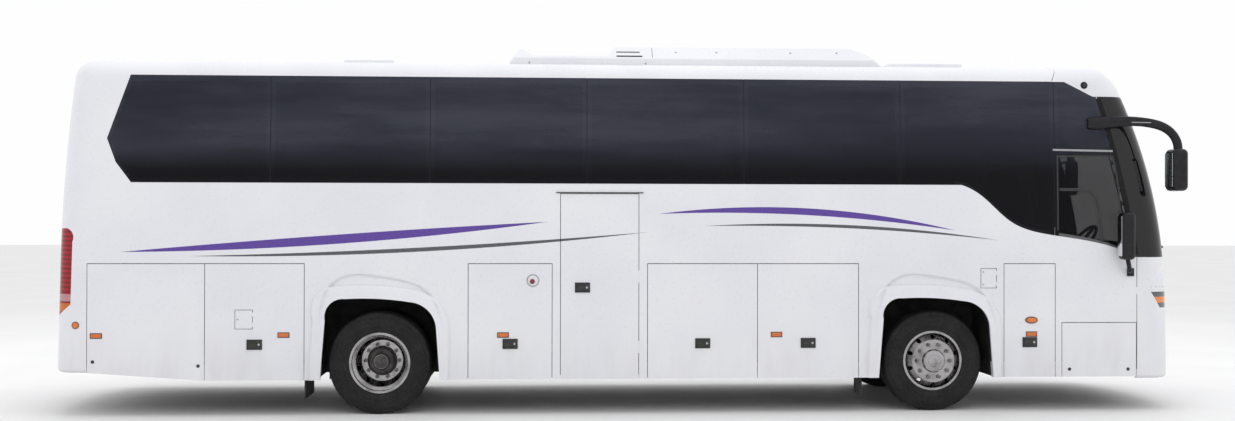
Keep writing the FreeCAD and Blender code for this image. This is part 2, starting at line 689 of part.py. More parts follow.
def entrance_arm():
    """The upright post in the stepwell with its two arms and their eyes."""
    pieces = [rod(POST_RADIUS, V(POST_X, POST_Y, STEP_Z + FIT), V(POST_X, POST_Y, POST_TOP_Z))]
    eye_x = POST_X - ARM_LENGTH
    for z in ARM_Z:
        low, high = z - ARM_HALF, z + ARM_HALF
        arm = box(eye_x, POST_X, POST_Y - ARM_HALF, POST_Y + ARM_HALF, low, high)
        arm = arm.fuse(rod(EYE_OUTER, V(eye_x, POST_Y, low), V(eye_x, POST_Y, high)))
        arm = arm.cut(rod(PIN_RADIUS + FIT, V(eye_x, POST_Y, low - 1), V(eye_x, POST_Y, high + 1)))
        arm.rotate(V(POST_X, POST_Y, 0), V(0, 0, 1), -ARM_START)
        pieces.append(arm)
    return joined(pieces)


# Front end

LAMP_TOP_Z = 1216.0
LAMP_Y = 620.0
INTAKE_SLOTS = 4
INTAKE_Z = 632.0
FOOT_RADIUS = 42.0


def foot_edges(block, z, seam_x):
    """The outer edges of a block's underside, without the one along its side seam."""
    found = []
    for edge in block.Edges:
        level = edge.BoundBox
        mid = edge.valueAt((edge.FirstParameter + edge.LastParameter) / 2)
        if abs(level.ZMin - z) < 0.5 and abs(level.ZMax - z) < 0.5 and abs(mid.x - seam_x) > 1:
            found.append(edge)
    return found


def headlamp_zone():
    """Slim lamps that wrap the corner below the bonnet seam."""
    x = FRONT_AXLE_X
    side_view = prism_y([(x + 2216.0, 1214.0), (FAR, 1130.0), (FAR, 960.0), (x + 2330.0, 1040.0)], *ACROSS)
    outline = [(LAMP_Y, 1150.0), (LAMP_Y + 60.0, 1040.0), (FAR, 1010.0), (FAR, LAMP_TOP_Z)]
    outline.append((LAMP_Y + 200.0, LAMP_TOP_Z - 16.0))
    front_view = prism_x(outline, 0, FAR)
    return side_view.common(front_view.fuse(mirrored(front_view)))


def front_pieces():
    """Cap, screen, screen frame, mask, bumper and headlamps, in that order."""
    cap = FRONT_OUTER.common(cap_zone()).cut(FRONT_INNER)
    screen = FRONT_SKIN.common(screen_zone(0.0, 0.0))
    frame = FRONT_WALL.cut(FRONT_SKIN).common(screen_zone(0.0, 0.0)).cut(screen_zone(70.0, 60.0))
    mask = FRONT_WALL.common(mask_zone())
    block = FRONT_OUTER.common(bumper_zone()).removeSplitter().Solids[0]
    bumper = block.makeFillet(FOOT_RADIUS, foot_edges(block, SKIRT_Z - BUMPER_DROP, MASK_X)).cut(FRONT_INNER)
    lamps = bumper.common(headlamp_zone())
    bumper = bumper.cut(headlamp_zone())
    for number in range(INTAKE_SLOTS):
        low = INTAKE_Z + number * 32.0
        half = 540.0 + number * 16.0
        bumper = bumper.cut(box(0, FAR, -half, half, low, low + 20.0))
    return cap, screen, frame, mask, bumper, lamps


# Rear end

ENGINE_DOOR = (850.0, 860.0, 1560.0)
REAR_BUMPER_Z = 800.0
REAR_WINDOW = (960.0, 2300.0, 3190.0)


def rear_window_zone(margin):
    half, low, high = REAR_WINDOW[0] - margin, REAR_WINDOW[1] + margin, REAR_WINDOW[2] - margin
    zone = box(-FAR, -1000, -half, half, low, high)
    edges = [edge for edge in zone.Edges if abs(edge.Vertexes[0].Point.x - edge.Vertexes[1].Point.x) > 10]
    return zone.makeFillet(120.0 - margin, edges)


def tail_lamp_zone():
    """Tall lamps wrapping both rear corners, rounded over the top."""
    x = REAR_AXLE_X - 2955.0
    top, low = (x - 60.0, 1830.0), (x - 16.0, 1089.0)
    parts = [bend(xz((x, 1700.0)), xz(shifted((x, 1700.0), -12.0, 100.0)), xz(top))]
    parts += path([top, (-FAR, 1830.0), (-FAR, 930.0), (x - 190.0, 952.0), low, (x, 1700.0)])
    zone = y_wire(parts, HALF_WIDTH - 300.0, HALF_WIDTH + 50.0)
    return zone.fuse(mirrored(zone))


def engine_door_zone(grow):
    half, low, high = ENGINE_DOOR
    return box(-FAR, REAR_CUT, -half - grow, half + grow, low - grow, high + grow)


def rear_pieces():
    """Panel, bumper, lamps, window and engine door, in that order."""
    block = REAR_OUTER.common(rear_zone()).cut(skirt_slope(ACROSS)).removeSplitter().Solids[0]
    whole = block.makeFillet(FOOT_RADIUS, foot_edges(block, REAR_SKIRT_Z, REAR_EDGE)).cut(REAR_INNER)
    lamps = whole.common(tail_lamp_zone())
    whole = whole.cut(tail_lamp_zone())
    low = box(-FAR, 0, ACROSS[0], ACROSS[1], 0, REAR_BUMPER_Z)
    bumper = whole.common(low)
    door = whole.common(engine_door_zone(-HALF_GAP))
    window = REAR_SKIN.common(rear_window_zone(0.0))
    panel = whole.cut(low).cut(engine_door_zone(HALF_GAP)).cut(window).cut(rear_window_zone(REBATE))
    top = ENGINE_DOOR[2]
    x = REAR_X + (top - REAR_SKIRT_Z) * math.tan(math.radians(REAR_LEAN))
    leaf = box(x, x + HINGE_WALL, -HINGE_LENGTH, HINGE_LENGTH, top - HALF_GAP - BITE, top - FIT)
    door = joined([door, leaf])
    panel = joined([panel, box(x, x + HINGE_WALL, -HINGE_LENGTH, HINGE_LENGTH, top, top + HALF_GAP + BITE)])
    return panel, bumper, lamps, window, door


# Roof and what stands on it

def roof():
    whole = SHELL.common(box(-FAR, FAR, ACROSS[0], ACROSS[1], CANT_Z, HIGH))
    return whole.cut(rear_zone()).cut(cap_zone())


def hatch(x0, x1, half, top, edge):
    """A low domed cover, its underside following the roof."""
    block = box(x0, x1, -half, half, ROOF_Z - 120.0, top)
    tops = [e for e in block.Edges if all(v.Point.z > top - 1 for v in e.Vertexes)]
    block = block.makeFillet(edge, tops)
    return block.cut(FORM)


def ac_unit():
    """The roof air conditioner: a long cover with a raised tail scoop and a sloping nose."""
    x = REAR_AXLE_X
    top = 3694.0
    points = [(x + 1258, 3380), (x + 1258, 3505), (x + 1372, 3664), (x + 1400, 3666), (x + 1500, 3590)]
    points += [(x + 2262, 3592), (x + 2336, top), (x + 4785, top), (x + 4950, 3615), (x + 5082, 3500)]
    points.append((x + 5082, 3380))
    side_view = prism_y(points, -960.0, 960.0)
    outline = [(-950, 3380), (-940, 3560), (-800, 3720), (800, 3720), (940, 3560), (950, 3380)]
    block = side_view.common(prism_x(outline, x + 1000, x + 5400)).removeSplitter().Solids[0]
    upper = [edge for edge in block.Edges if min(v.Point.z for v in edge.Vertexes) > ROOF_Z - 60.0]
    return block.makeFillet(25.0, upper).cut(FORM)


# Inside: floors, bays and wheel housings

DOOR_WELL = (DOOR_REAR - 30.0, DOOR_FRONT + 30.0, -620.0)
ENTRANCE_WELL = (ENTRANCE_REAR - 30.0, ENTRANCE_FRONT + 20.0, 480.0)
FLOOR_END = FRONT_AXLE_X + 690.0
BAY_EDGE_Y = HALF_WIDTH - WALL - 8.0
LINER_OUT = HALF_WIDTH - WALL
STAIR_WALL = 24.0


def floor():
    """The saloon floor over the bays, its edges meeting the walls, open over the centre stairs."""
    plate = box(REAR_X, FLOOR_END, -HALF_WIDTH, HALF_WIDTH, FLOOR_Z, FLOOR_Z + FLOOR_WALL).common(INNER)
    return plate.cut(box(DOOR_WELL[0], DOOR_WELL[1], -HALF_WIDTH, DOOR_WELL[2], 0, HIGH))


def cab_floor():
    """The lower floor beside the driver, with the riser and two steps up to the saloon."""
    top = CAB_FLOOR_Z
    plate = box(FLOOR_END, FRONT_X, -HALF_WIDTH, HALF_WIDTH, top - FLOOR_WALL, top).common(INNER)
    plate = plate.common(box(0, FRONT_X - 260.0, -BAY_EDGE_Y, BAY_EDGE_Y, 0, HIGH))
    well = box(ENTRANCE_WELL[0], ENTRANCE_WELL[1] + 60.0, ENTRANCE_WELL[2], HALF_WIDTH, 0, HIGH)
    riser = box(FLOOR_END, FLOOR_END + 20.0, -BAY_EDGE_Y, BAY_EDGE_Y, top - FLOOR_WALL, FLOOR_Z + FLOOR_WALL)
    rise = (FLOOR_Z + FLOOR_WALL - top) / 3
    stair = []
    for k in range(2):
        front = FLOOR_END + 20.0 + 260.0 * (2 - k)
        stair.append(box(FLOOR_END, front, -330.0, 330.0, top, top + rise * (k + 1)))
    return joined([plate.cut(well), riser] + stair)


def staircase(x0, x1, y_out, y_in, z0, z1, count):
    """Steps climbing inward from the doorway, drawn as one folded plate."""
    wall = STAIR_WALL
    run = (y_in - y_out) / count
    rise = (z1 - z0) / count
    steps = []
    for k in range(count):
        y0, y1 = sorted((y_out + run * k, y_out + run * (k + 1)))
        steps.append(box(x0, x1, y0, y1, z0 + rise * k - wall, z0 + rise * k))
        edge = y_out + run * (k + 1)
        y2, y3 = sorted((edge, edge + math.copysign(wall, run)))
        steps.append(box(x0, x1, y2, y3, z0 + rise * k - wall, z0 + rise * (k + 1)))
    return joined(steps)


def stairs():
    x0, x1, inner = DOOR_WELL
    centre = staircase(x0, x1, -BAY_EDGE_Y, inner - STAIR_WALL, STEP_Z, FLOOR_Z, 5)
    x0, x1, inner = ENTRANCE_WELL
    entrance = staircase(x0, x1, BAY_EDGE_Y, inner + STAIR_WALL, STEP_Z, CAB_FLOOR_Z, 3)
    return [centre, entrance]


def bay_floor():
    """The luggage bays' floor between the wheel housings."""
    x0, x1 = REAR_AXLE_X + LINER_HALF + 10, FRONT_AXLE_X - LINER_HALF - 150
    plate = box(x0, x1, -BAY_EDGE_Y, BAY_EDGE_Y, SKIRT_Z + 10, BAY_FLOOR_Z)
    return plate.cut(box(DOOR_WELL[0], DOOR_WELL[1], -HALF_WIDTH, DOOR_WELL[2], 0, HIGH))


def post(x, side):
    """An upright behind a lid joint, from the bay floor's edge to the saloon floor."""
    y = BAY_EDGE_Y - 50.0
    upright = box(x - 30.0, x + 30.0, y, BAY_EDGE_Y, BAY_FLOOR_Z, FLOOR_Z)
    return upright if side == LEFT else mirrored(upright)


def bay_frames():
    """Uprights at the lid joints and the cross walls that part the bays."""
    frames = [post(BAY_SEAM, RIGHT)]
    for number in range(1, LEFT_BAYS):
        frames.append(post(REAR_ARCH_SEAM_B + number * LEFT_STEP, LEFT))
    for x in (MID_POST_A + 12.0, MID_POST_B - 32.0):
        frames.append(box(x, x + 20.0, -BAY_EDGE_Y, DOOR_WELL[2], BAY_FLOOR_Z, FLOOR_Z))
    frames.append(box(DOOR_WELL[0], DOOR_WELL[1], DOOR_WELL[2], DOOR_WELL[2] + 20.0, BAY_FLOOR_Z, FLOOR_Z))
    return frames


def liner(axle_x):
    """A wheel housing on the right: rounded over the tyre, open below, to the side and at the axle."""
    half, y = LINER_HALF + LINER_WALL, -LINER_INNER_Y + LINER_WALL
    outer = box(axle_x - half, axle_x + half, -LINER_OUT, y, SKIRT_Z, LINER_TOP_Z + LINER_WALL)
    x0, x1 = axle_x - LINER_HALF, axle_x + LINER_HALF
    inner = box(x0, x1, -LINER_OUT - 10, -LINER_INNER_Y, SKIRT_Z - 10, LINER_TOP_Z)
    outer = outer.makeFillet(LINER_RADIUS + LINER_WALL, upper_corners(outer))
    inner = inner.makeFillet(LINER_RADIUS, upper_corners(inner))
    x0, x1 = axle_x - AXLE_SLOT, axle_x + AXLE_SLOT
    slot = box(x0, x1, -LINER_INNER_Y - 2, 0, 0, TYRE_RADIUS + AXLE_SLOT)
    return outer.cut(inner).cut(slot)


def upper_corners(block):
    top = block.BoundBox.ZMax
    found = []
    for edge in block.Edges:
        a, b = edge.Vertexes[0].Point, edge.Vertexes[1].Point
        if abs(a.z - top) < 1 and abs(b.z - top) < 1 and abs(a.y - b.y) > 10:
            found.append(edge)
    return found


def mud_flap(axle_x, reach, y0, y1):
    """A rubber flap hung behind a wheel by two arms off the housing."""
    x = axle_x - reach
    pieces = [box(x - 4.0, x + 4.0, -y1, -y0, 150.0, 590.0)]
    end = axle_x - LINER_HALF - LINER_WALL
    for y in (y0 + 60, y1 - 60):
        pieces.append(box(x, end, -y - 15.0, -y + 15.0, 560.0, 590.0))
    return joined(pieces)


# Chassis, engine and axles

RAIL_REAR = REAR_X + 330.0
RAIL_FRONT = FRONT_AXLE_X + 1800.0
ENGINE = (REAR_X + 380.0, REAR_X + 1480.0, 450.0, 1260.0)


def chassis():
    """Two rails with cross members, between the wheels of both axles."""
    rails = []
    for sign in (-1, 1):
        y0, y1 = sorted((sign * (RAIL_Y - RAIL_HALF), sign * (RAIL_Y + RAIL_HALF)))
        rails.append(box(RAIL_REAR, RAIL_FRONT, y0, y1, RAIL_Z, RAIL_TOP_Z))
    crosses = [RAIL_REAR, REAR_AXLE_X - 900, REAR_AXLE_X + 700, MID_POST_A + 400]
    crosses += [BAY_SEAM, FRONT_AXLE_X - 700, FRONT_AXLE_X + 700, RAIL_FRONT - 60]
    for x in crosses:
        rails.append(box(x, x + 60.0, -RAIL_Y, RAIL_Y, RAIL_Z + 40.0, RAIL_TOP_Z - 40.0))
    uprights = [REAR_AXLE_X - 1000, REAR_AXLE_X + 760, BAY_SEAM + 200]
    uprights += [FRONT_AXLE_X - 760, FRONT_AXLE_X + 800]
    for x in uprights:
        top = FLOOR_Z if x < FLOOR_END else CAB_FLOOR_Z - FLOOR_WALL
        for y in (-RAIL_Y, RAIL_Y):
            rails.append(box(x, x + 50.0, y - 25.0, y + 25.0, RAIL_TOP_Z - 10.0, top))
    return joined(rails)


def engine():
    """The rear engine as one plain block between the rails."""
    x0, x1, z0, z1 = ENGINE
    return box(x0 + 80.0, x1, -RAIL_Y + RAIL_HALF, RAIL_Y - RAIL_HALF, z0, z1)


def air_springs(axle_x):
    """Two saddle beams under the axle carrying a bellows at each end, up to the rails."""
    pieces = []
    for sign in (-1, 1):
        y = sign * RAIL_Y
        low, high = TYRE_RADIUS - 75.0, TYRE_RADIUS - 20.0
        pieces.append(box(axle_x - 430.0, axle_x + 430.0, y - 40.0, y + 40.0, low, high))
        for x in (axle_x - 360.0, axle_x + 360.0):
            pieces.append(rod(70.0, V(x, y, TYRE_RADIUS - 30.0), V(x, y, RAIL_Z)))
    return pieces


def rear_axle():
    """The driven axle: round tubes, a differential housing and a spindle at each end."""
    x, z = REAR_AXLE_X, TYRE_RADIUS
    reach = REAR_INNER_Y - TYRE_WIDTH / 2 - 20.0
    tube = rod(82.0, V(x, -reach, z), V(x, reach, z))
    reach = REAR_OUTER_Y - 40.0
    spindle = rod(SPINDLE_RADIUS, V(x, -reach, z), V(x, reach, z))
    bulge = Part.makeSphere(205.0, V(x, 0, z))
    pinion = rod(90.0, V(x, 0, z), V(x - 330.0, 0, z + 30.0))
    return joined([tube, spindle, bulge, pinion] + air_springs(REAR_AXLE_X))


EYE_HALF = 62.0
EYE_RADIUS = 56.0


def front_axle():
    """The forged beam, dropped in the middle, with an eye for each kingpin."""
    z = TYRE_RADIUS
    under = [(KINGPIN_Y - 380, z - 100), (KINGPIN_Y - 260, z - 45), (KINGPIN_Y, z - 45)]
    over = [(KINGPIN_Y, z + 45), (KINGPIN_Y - 280, z + 45), (KINGPIN_Y - 400, z - 15)]
    half = under + over
    outline = half + [(-y, height) for y, height in reversed(half)]
    beam = prism_x(outline, FRONT_AXLE_X - 50.0, FRONT_AXLE_X + 50.0)
    pieces = [beam] + air_springs(FRONT_AXLE_X)
    for sign in (-1, 1):
        y = sign * KINGPIN_Y
        pieces.append(rod(EYE_RADIUS, V(FRONT_AXLE_X, y, z - EYE_HALF), V(FRONT_AXLE_X, y, z + EYE_HALF)))
    whole = joined(pieces)
    for sign in (-1, 1):
        y = sign * KINGPIN_Y
        whole = whole.cut(rod(KINGPIN_RADIUS + FIT, V(FRONT_AXLE_X, y, 0), V(FRONT_AXLE_X, y, RAIL_Z)))
    return whole


def knuckle():
    """The right steering knuckle: a fork on the kingpin and the wheel's spindle."""
    z = TYRE_RADIUS
    x = FRONT_AXLE_X
    y = -KINGPIN_Y
    web_y = y - EYE_RADIUS - 14.0
    pieces = [rod(KINGPIN_RADIUS, V(x, y, z - 110.0), V(x, y, z + 110.0))]
    for low in (z - 110.0, z + EYE_HALF + 6.0):
        pieces.append(rod(54.0, V(x, y, low), V(x, y, low + 42.0)))
        pieces.append(box(x - 50.0, x + 50.0, web_y - 26.0, y, low, low + 42.0))
    pieces.append(box(x - 50.0, x + 50.0, web_y - 26.0, web_y, z - 110.0, z + 110.0))
    pieces.append(rod(SPINDLE_RADIUS, V(x, web_y - 10.0, z), V(x, -FRONT_WHEEL_Y - DISC_OFFSET + 10.0, z)))
    return joined(pieces)


# Wheels, turned about an axis through the tyre's middle plane with outward as up

def turned(points):
    corners = [V(r, 0, a) for r, a in points]
    return Part.Face(Part.makePolygon(corners + corners[:1])).revolve(V(0, 0, 0), V(0, 0, 1), 360)


def tyre():
    """A radial tyre: beads on the rim seats, bulged sidewalls and a flat tread with round shoulders."""
    half = TYRE_WIDTH / 2
    bead = RIM_HALF - 8.0
    tread = half - 28.0
    a, b, c = V(SEAT_RADIUS, 0, bead), V(RIM_RADIUS + 92.0, 0, half), V(TYRE_RADIUS - 22.0, 0, tread + 14.0)
    parts = [segment(V(SEAT_RADIUS, 0, -bead), a), bend(a, b, c)]
    parts.append(bend(c, V(TYRE_RADIUS - 7.0, 0, tread), V(TYRE_RADIUS, 0, tread - 26.0)))
    parts.append(segment(V(TYRE_RADIUS, 0, tread - 26.0), V(TYRE_RADIUS, 0, -tread + 26.0)))
    parts.append(bend(V(TYRE_RADIUS, 0, -tread + 26.0), V(TYRE_RADIUS - 7.0, 0, -tread), V(c.x, 0, -c.z)))
    parts.append(bend(V(c.x, 0, -c.z), V(b.x, 0, -b.z), V(SEAT_RADIUS, 0, -bead)))
    return Part.Face(Part.Wire(parts)).revolve(V(0, 0, 0), V(0, 0, 1), 360)


def rim():
    """A steel disc wheel: drop-centre barrel, flanges, and a domed disc with hand holes."""
    w = RIM_WALL
    lip = RIM_HALF + FLANGE
    seat, well = SEAT_RADIUS, WELL_RADIUS
    outer = [(seat, RIM_HALF), (RIM_RADIUS, RIM_HALF + 3.0), (RIM_RADIUS, lip), (seat - w, lip)]
    outer += [(seat - w, 58.0), (well - w, 34.0), (well - w, -34.0), (seat - w, -60.0), (seat - w, -lip)]
    outer += [(RIM_RADIUS, -lip), (RIM_RADIUS, -RIM_HALF - 3.0), (seat, -RIM_HALF)]
    outer += [(seat, -60.0), (well, -34.0), (well, 34.0), (seat, 58.0)]
    barrel = turned(outer)
    face, top = DISC_OFFSET, DISC_OFFSET + DISC_WALL
    bore = SPINDLE_RADIUS + 6.0
    disc = [(bore, face), (205.0, face), (238.0, face - 40.0), (seat - w - 2.0, 62.0)]
    disc += [(seat - w + 3.0, 62.0), (seat - w + 3.0, 84.0), (252.0, face - 26.0), (214.0, top), (bore, top)]
    plate = turned(disc)
    for number in range(HAND_HOLES):
        angle = math.radians(360.0 * (number + 0.5) / HAND_HOLES)
        centre = V(242.0 * math.cos(angle), 242.0 * math.sin(angle), 0)
        plate = plate.cut(rod(HAND_HOLE_RADIUS, centre, centre + V(0, 0, 220.0)))
    return joined([barrel, plate])


def placed(shape, y, outward):
    """A wheel piece turned so that outward faces the side, at distance y from the middle."""
    copy = shape.copy()
    copy.rotate(V(0, 0, 0), V(1, 0, 0), -90.0 * outward)
    copy.translate(V(0, y, TYRE_RADIUS))
    return copy


def front_wheel():
    """Tyre and rim on the right, with the hub and its cap."""
    y = -FRONT_WHEEL_Y
    face = DISC_OFFSET
    top = DISC_OFFSET + DISC_WALL
    foot = DISC_OFFSET - 105.0
    bore = SPINDLE_RADIUS + FIT
    outline = [(bore, foot), (100.0, foot), (112.0, face - 14.0), (198.0, face - 12.0), (198.0, face)]
    hub = turned(outline + [(bore, face)])
    cover = SPINDLE_RADIUS + 6.0
    outline = [(0, face + 12.0), (cover, face + 12.0), (cover, top), (113.0, top), (105.0, top + 26.0)]
    cap = turned(outline + [(70.0, top + 34.0), (0, top + 34.0)])
    wheel = joined([rim(), hub, cap])
    return placed(tyre(), y, -1), placed(wheel, y, -1)


def rear_wheel():
    """Twin tyres and rims on the right, their discs face to face, with the hub."""
    bore = SPINDLE_RADIUS + FIT
    hub = turned([(bore, -150.0), (150.0, -150.0), (160.0, -DISC_WALL), (160.0, 0.0), (bore, 0.0)])
    outline = [(0, 150.0), (bore, 150.0), (bore, 0.0), (HUB_RADIUS, 0.0), (HUB_RADIUS, 84.0)]
    cap = turned(outline + [(110.0, 96.0), (84.0, 90.0), (70.0, 160.0), (0, 160.0)])
    outer = placed(rim(), -REAR_OUTER_Y, 1)
    inner = placed(rim(), -REAR_INNER_Y, -1)
    middle = [placed(hub, -DUAL_Y, -1), placed(cap, -DUAL_Y, -1)]
    tyres = [placed(tyre(), -REAR_OUTER_Y, -1), placed(tyre(), -REAR_INNER_Y, -1)]
    return tyres, joined([outer, inner] + middle)


def at(shape, x):
    copy = shape.copy()
    copy.translate(V(x, 0, 0))
    return copy


# Cab, seats and racks

def driver_seat():
    """The driver's seat on its pedestal, on the right."""
    x, y, z = FRONT_AXLE_X + 1080.0, -640.0, CAB_FLOOR_Z
    side_view = [(x - 90, z + 330), (x + 430, z + 400), (x + 440, z + 500), (x + 60, z + 460)]
    side_view += [(x - 80, z + 1100), (x - 150, z + 1260), (x - 250, z + 1250), (x - 220, z + 1080)]
    seat = prism_y(side_view, y - 250.0, y + 250.0)
    pedestal = box(x, x + 330.0, y - 170.0, y + 170.0, z, z + 400.0)
    return joined([seat, pedestal])


def dashboard():
    """The fascia under the windscreen, with the binnacle, column and wheel at the driver's place."""
    z = CAB_FLOOR_Z
    x = FRONT_X - 250.0
    outline = [(x - 560, z + 420), (x - 480, z + 600), (x, z + 560), (x, z), (x - 260, z), (x - 300, z + 360)]
    body = prism_y(outline, -BAY_EDGE_Y, 380.0).common(INNER)
    column = rod(38.0, V(x - 420, -640, z + 460), V(x - 640, -640, z + 640))
    axis = V(-220, 0, 180)
    rim_ring = Part.makeTorus(225.0, 17.0, V(0, 0, 0), V(0, 0, 1))
    spokes = box(-222.0, 222.0, -22.0, 22.0, -14.0, 8.0).fuse(rod(60.0, V(0, 0, -20), V(0, 0, 14)))
    wheel = rim_ring.fuse(spokes)
    wheel.rotate(V(0, 0, 0), V(0, 1, 0), math.degrees(math.atan2(axis.x, axis.z)))
    wheel.translate(V(x - 645, -640, z + 645))
    return joined([body, column, wheel])


SEAT_PITCH = 790.0
SEAT_FIRST = REAR_X + 700.0
SEAT_ROWS = 11
SEAT_WIDTH = 900.0
SEAT_WALL_GAP = 40.0


def seat_row(x, side):
    """A double seat: two cushions on one bench, and a raked back with a head roll."""
    z = FLOOR_Z + FLOOR_WALL
    outline = [(x + 60, z + 320), (x + 500, z + 350), (x + 510, z + 450), (x + 120, z + 430)]
    outline += [(x - 60, z + 1010), (x - 80, z + 1110), (x - 170, z + 1110), (x - 160, z + 980)]
    outline.append((x + 10, z + 360))
    y1 = HALF_WIDTH - WALL - SEAT_WALL_GAP - 30.0
    y0 = y1 - SEAT_WIDTH
    seat = prism_y(outline, y0, y1)
    groove = box(x - 300, x + 700, (y0 + y1) / 2 - 6, (y0 + y1) / 2 + 6, z + 440, z + 1200)
    legs = [box(x + 150, x + 420, y, y + 40, z, z + 340) for y in (y0 + 140, y1 - 180)]
    whole = joined([seat.cut(groove)] + legs)
    return whole if side == LEFT else mirrored(whole)


def seats(side):
    rows = []
    for number in range(SEAT_ROWS):
        x = SEAT_FIRST + number * SEAT_PITCH
        over_stairs = side == RIGHT and x + 510 > DOOR_WELL[0] and x - 170 < DOOR_WELL[1]
        if not over_stairs:
            rows.append(seat_row(x, side))
    return rows


def luggage_racks():
    """The overhead racks, reaching from the cant rail inward on both sides."""
    y = HALF_WIDTH
    outline = [(y, 3370), (y, 3180), (800, 3030), (760, 3060), (780, 3110), (y - 150, 3230)]
    rack = prism_x(outline, SEAT_FIRST - 200.0, FLOOR_END - 100.0).common(INNER)
    return [rack, mirrored(rack)]


# Mirrors, wipers and roof gear

def ellipse(centre, direction, across, tall):
    """An oval section facing along direction, its long way upright."""
    normal = V(*direction).normalize()
    flat = normal.cross(V(0, 0, 1)).normalize()
    up = flat.cross(normal).normalize()
    if tall >= across:
        oval = Part.Ellipse(V(*centre) + up * tall, V(*centre) + flat * across, V(*centre))
    else:
        oval = Part.Ellipse(V(*centre) + flat * across, V(*centre) + up * tall, V(*centre))
    return Part.Wire([oval.toShape()])


def mirror_arm():
    """The right upper mirror: a fairing on the pillar, an arm that sweeps out and down, and the head."""
    x = FRONT_AXLE_X
    y = -HALF_WIDTH
    stations = [
        ((x + 1580, y + 40, 2905), (1, -0.10, 0.02), 42, 55),
        ((x + 1780, y - 6, 2918), (1, -0.25, 0.02), 40, 62),
        ((x + 1960, y - 64, 2925), (1, -0.30, 0.0), 36, 50),
        ((x + 2180, y - 124, 2900), (1, -0.22, -0.25), 34, 46),
        ((x + 2330, y - 158, 2835), (1, -0.15, -0.75), 34, 44),
        ((x + 2410, y - 172, 2730), (0.45, -0.05, -1), 36, 44),
        ((x + 2425, y - 176, 2620), (0.05, 0, -1), 36, 44),
    ]
    wires = [ellipse(*station) for station in stations]
    arm = Part.makeLoft(wires, True, False).cut(FORM)
    head = box(x + 2330, x + 2490, y - 300, y - 62, 2220, 2640)
    head = head.makeFillet(50.0, head.Edges)
    return joined([arm, head])


def lower_mirror():
    """The right lower mirror on its hooked bracket below the driver's window."""
    x = FRONT_AXLE_X
    y = -HALF_WIDTH
    head = box(x + 1848, x + 1988, y - 215, y - 55, 1530, 2005)
    head = head.makeFillet(45.0, head.Edges)
    neck = rod(22.0, V(x + 1925, y - 130, 1560), V(x + 1960, y - 110, 1420))
    hook = rod(22.0, V(x + 1960, y - 110, 1420), V(x + 2010, y + 4, 1400))
    elbow = Part.makeSphere(22.0, V(x + 1960, y - 110, 1420))
    foot = box(x + 1975, x + 2045, y - 12, y + 4, 1360, 1440)
    return joined([head, neck, hook, elbow, foot]).cut(FORM)


def wipers():
    """Two pantograph wipers parked low on the windscreen."""
    band_outer = front_form(-24.0).cut(front_form(-7.0))
    pieces = []
    for y0 in (-1020.0, 60.0):
        blade = prism_x([(y0, 1640), (y0 + 900, 1690), (y0 + 900, 1712), (y0, 1662)], 4000, FAR)
        arm = prism_x([(y0 + 430, 1560), (y0 + 490, 1560), (y0 + 480, 1690), (y0 + 445, 1690)], 4000, FAR)
        pieces.append(band_outer.common(blade.fuse(arm)))
        pivot = rod(28.0, V(4800, y0 + 460, 1575), V(FAR, y0 + 460, 1575))
        pieces[-1] = joined([pieces[-1], front_form(-24.0).cut(FORM).common(pivot)])
    return pieces


def roof_hatches():
    pieces = [hatch(REAR_AXLE_X - 460.0, REAR_AXLE_X + 50.0, 390.0, 3592.0, 18.0)]
    pieces.append(hatch(FRONT_AXLE_X - 260.0, FRONT_AXLE_X + 530.0, 420.0, 3596.0, 18.0))
    pieces.append(hatch(REAR_AXLE_X - 2673.0, REAR_AXLE_X - 2348.0, 260.0, 3571.0, 14.0))
    return pieces


# Every piece, written out

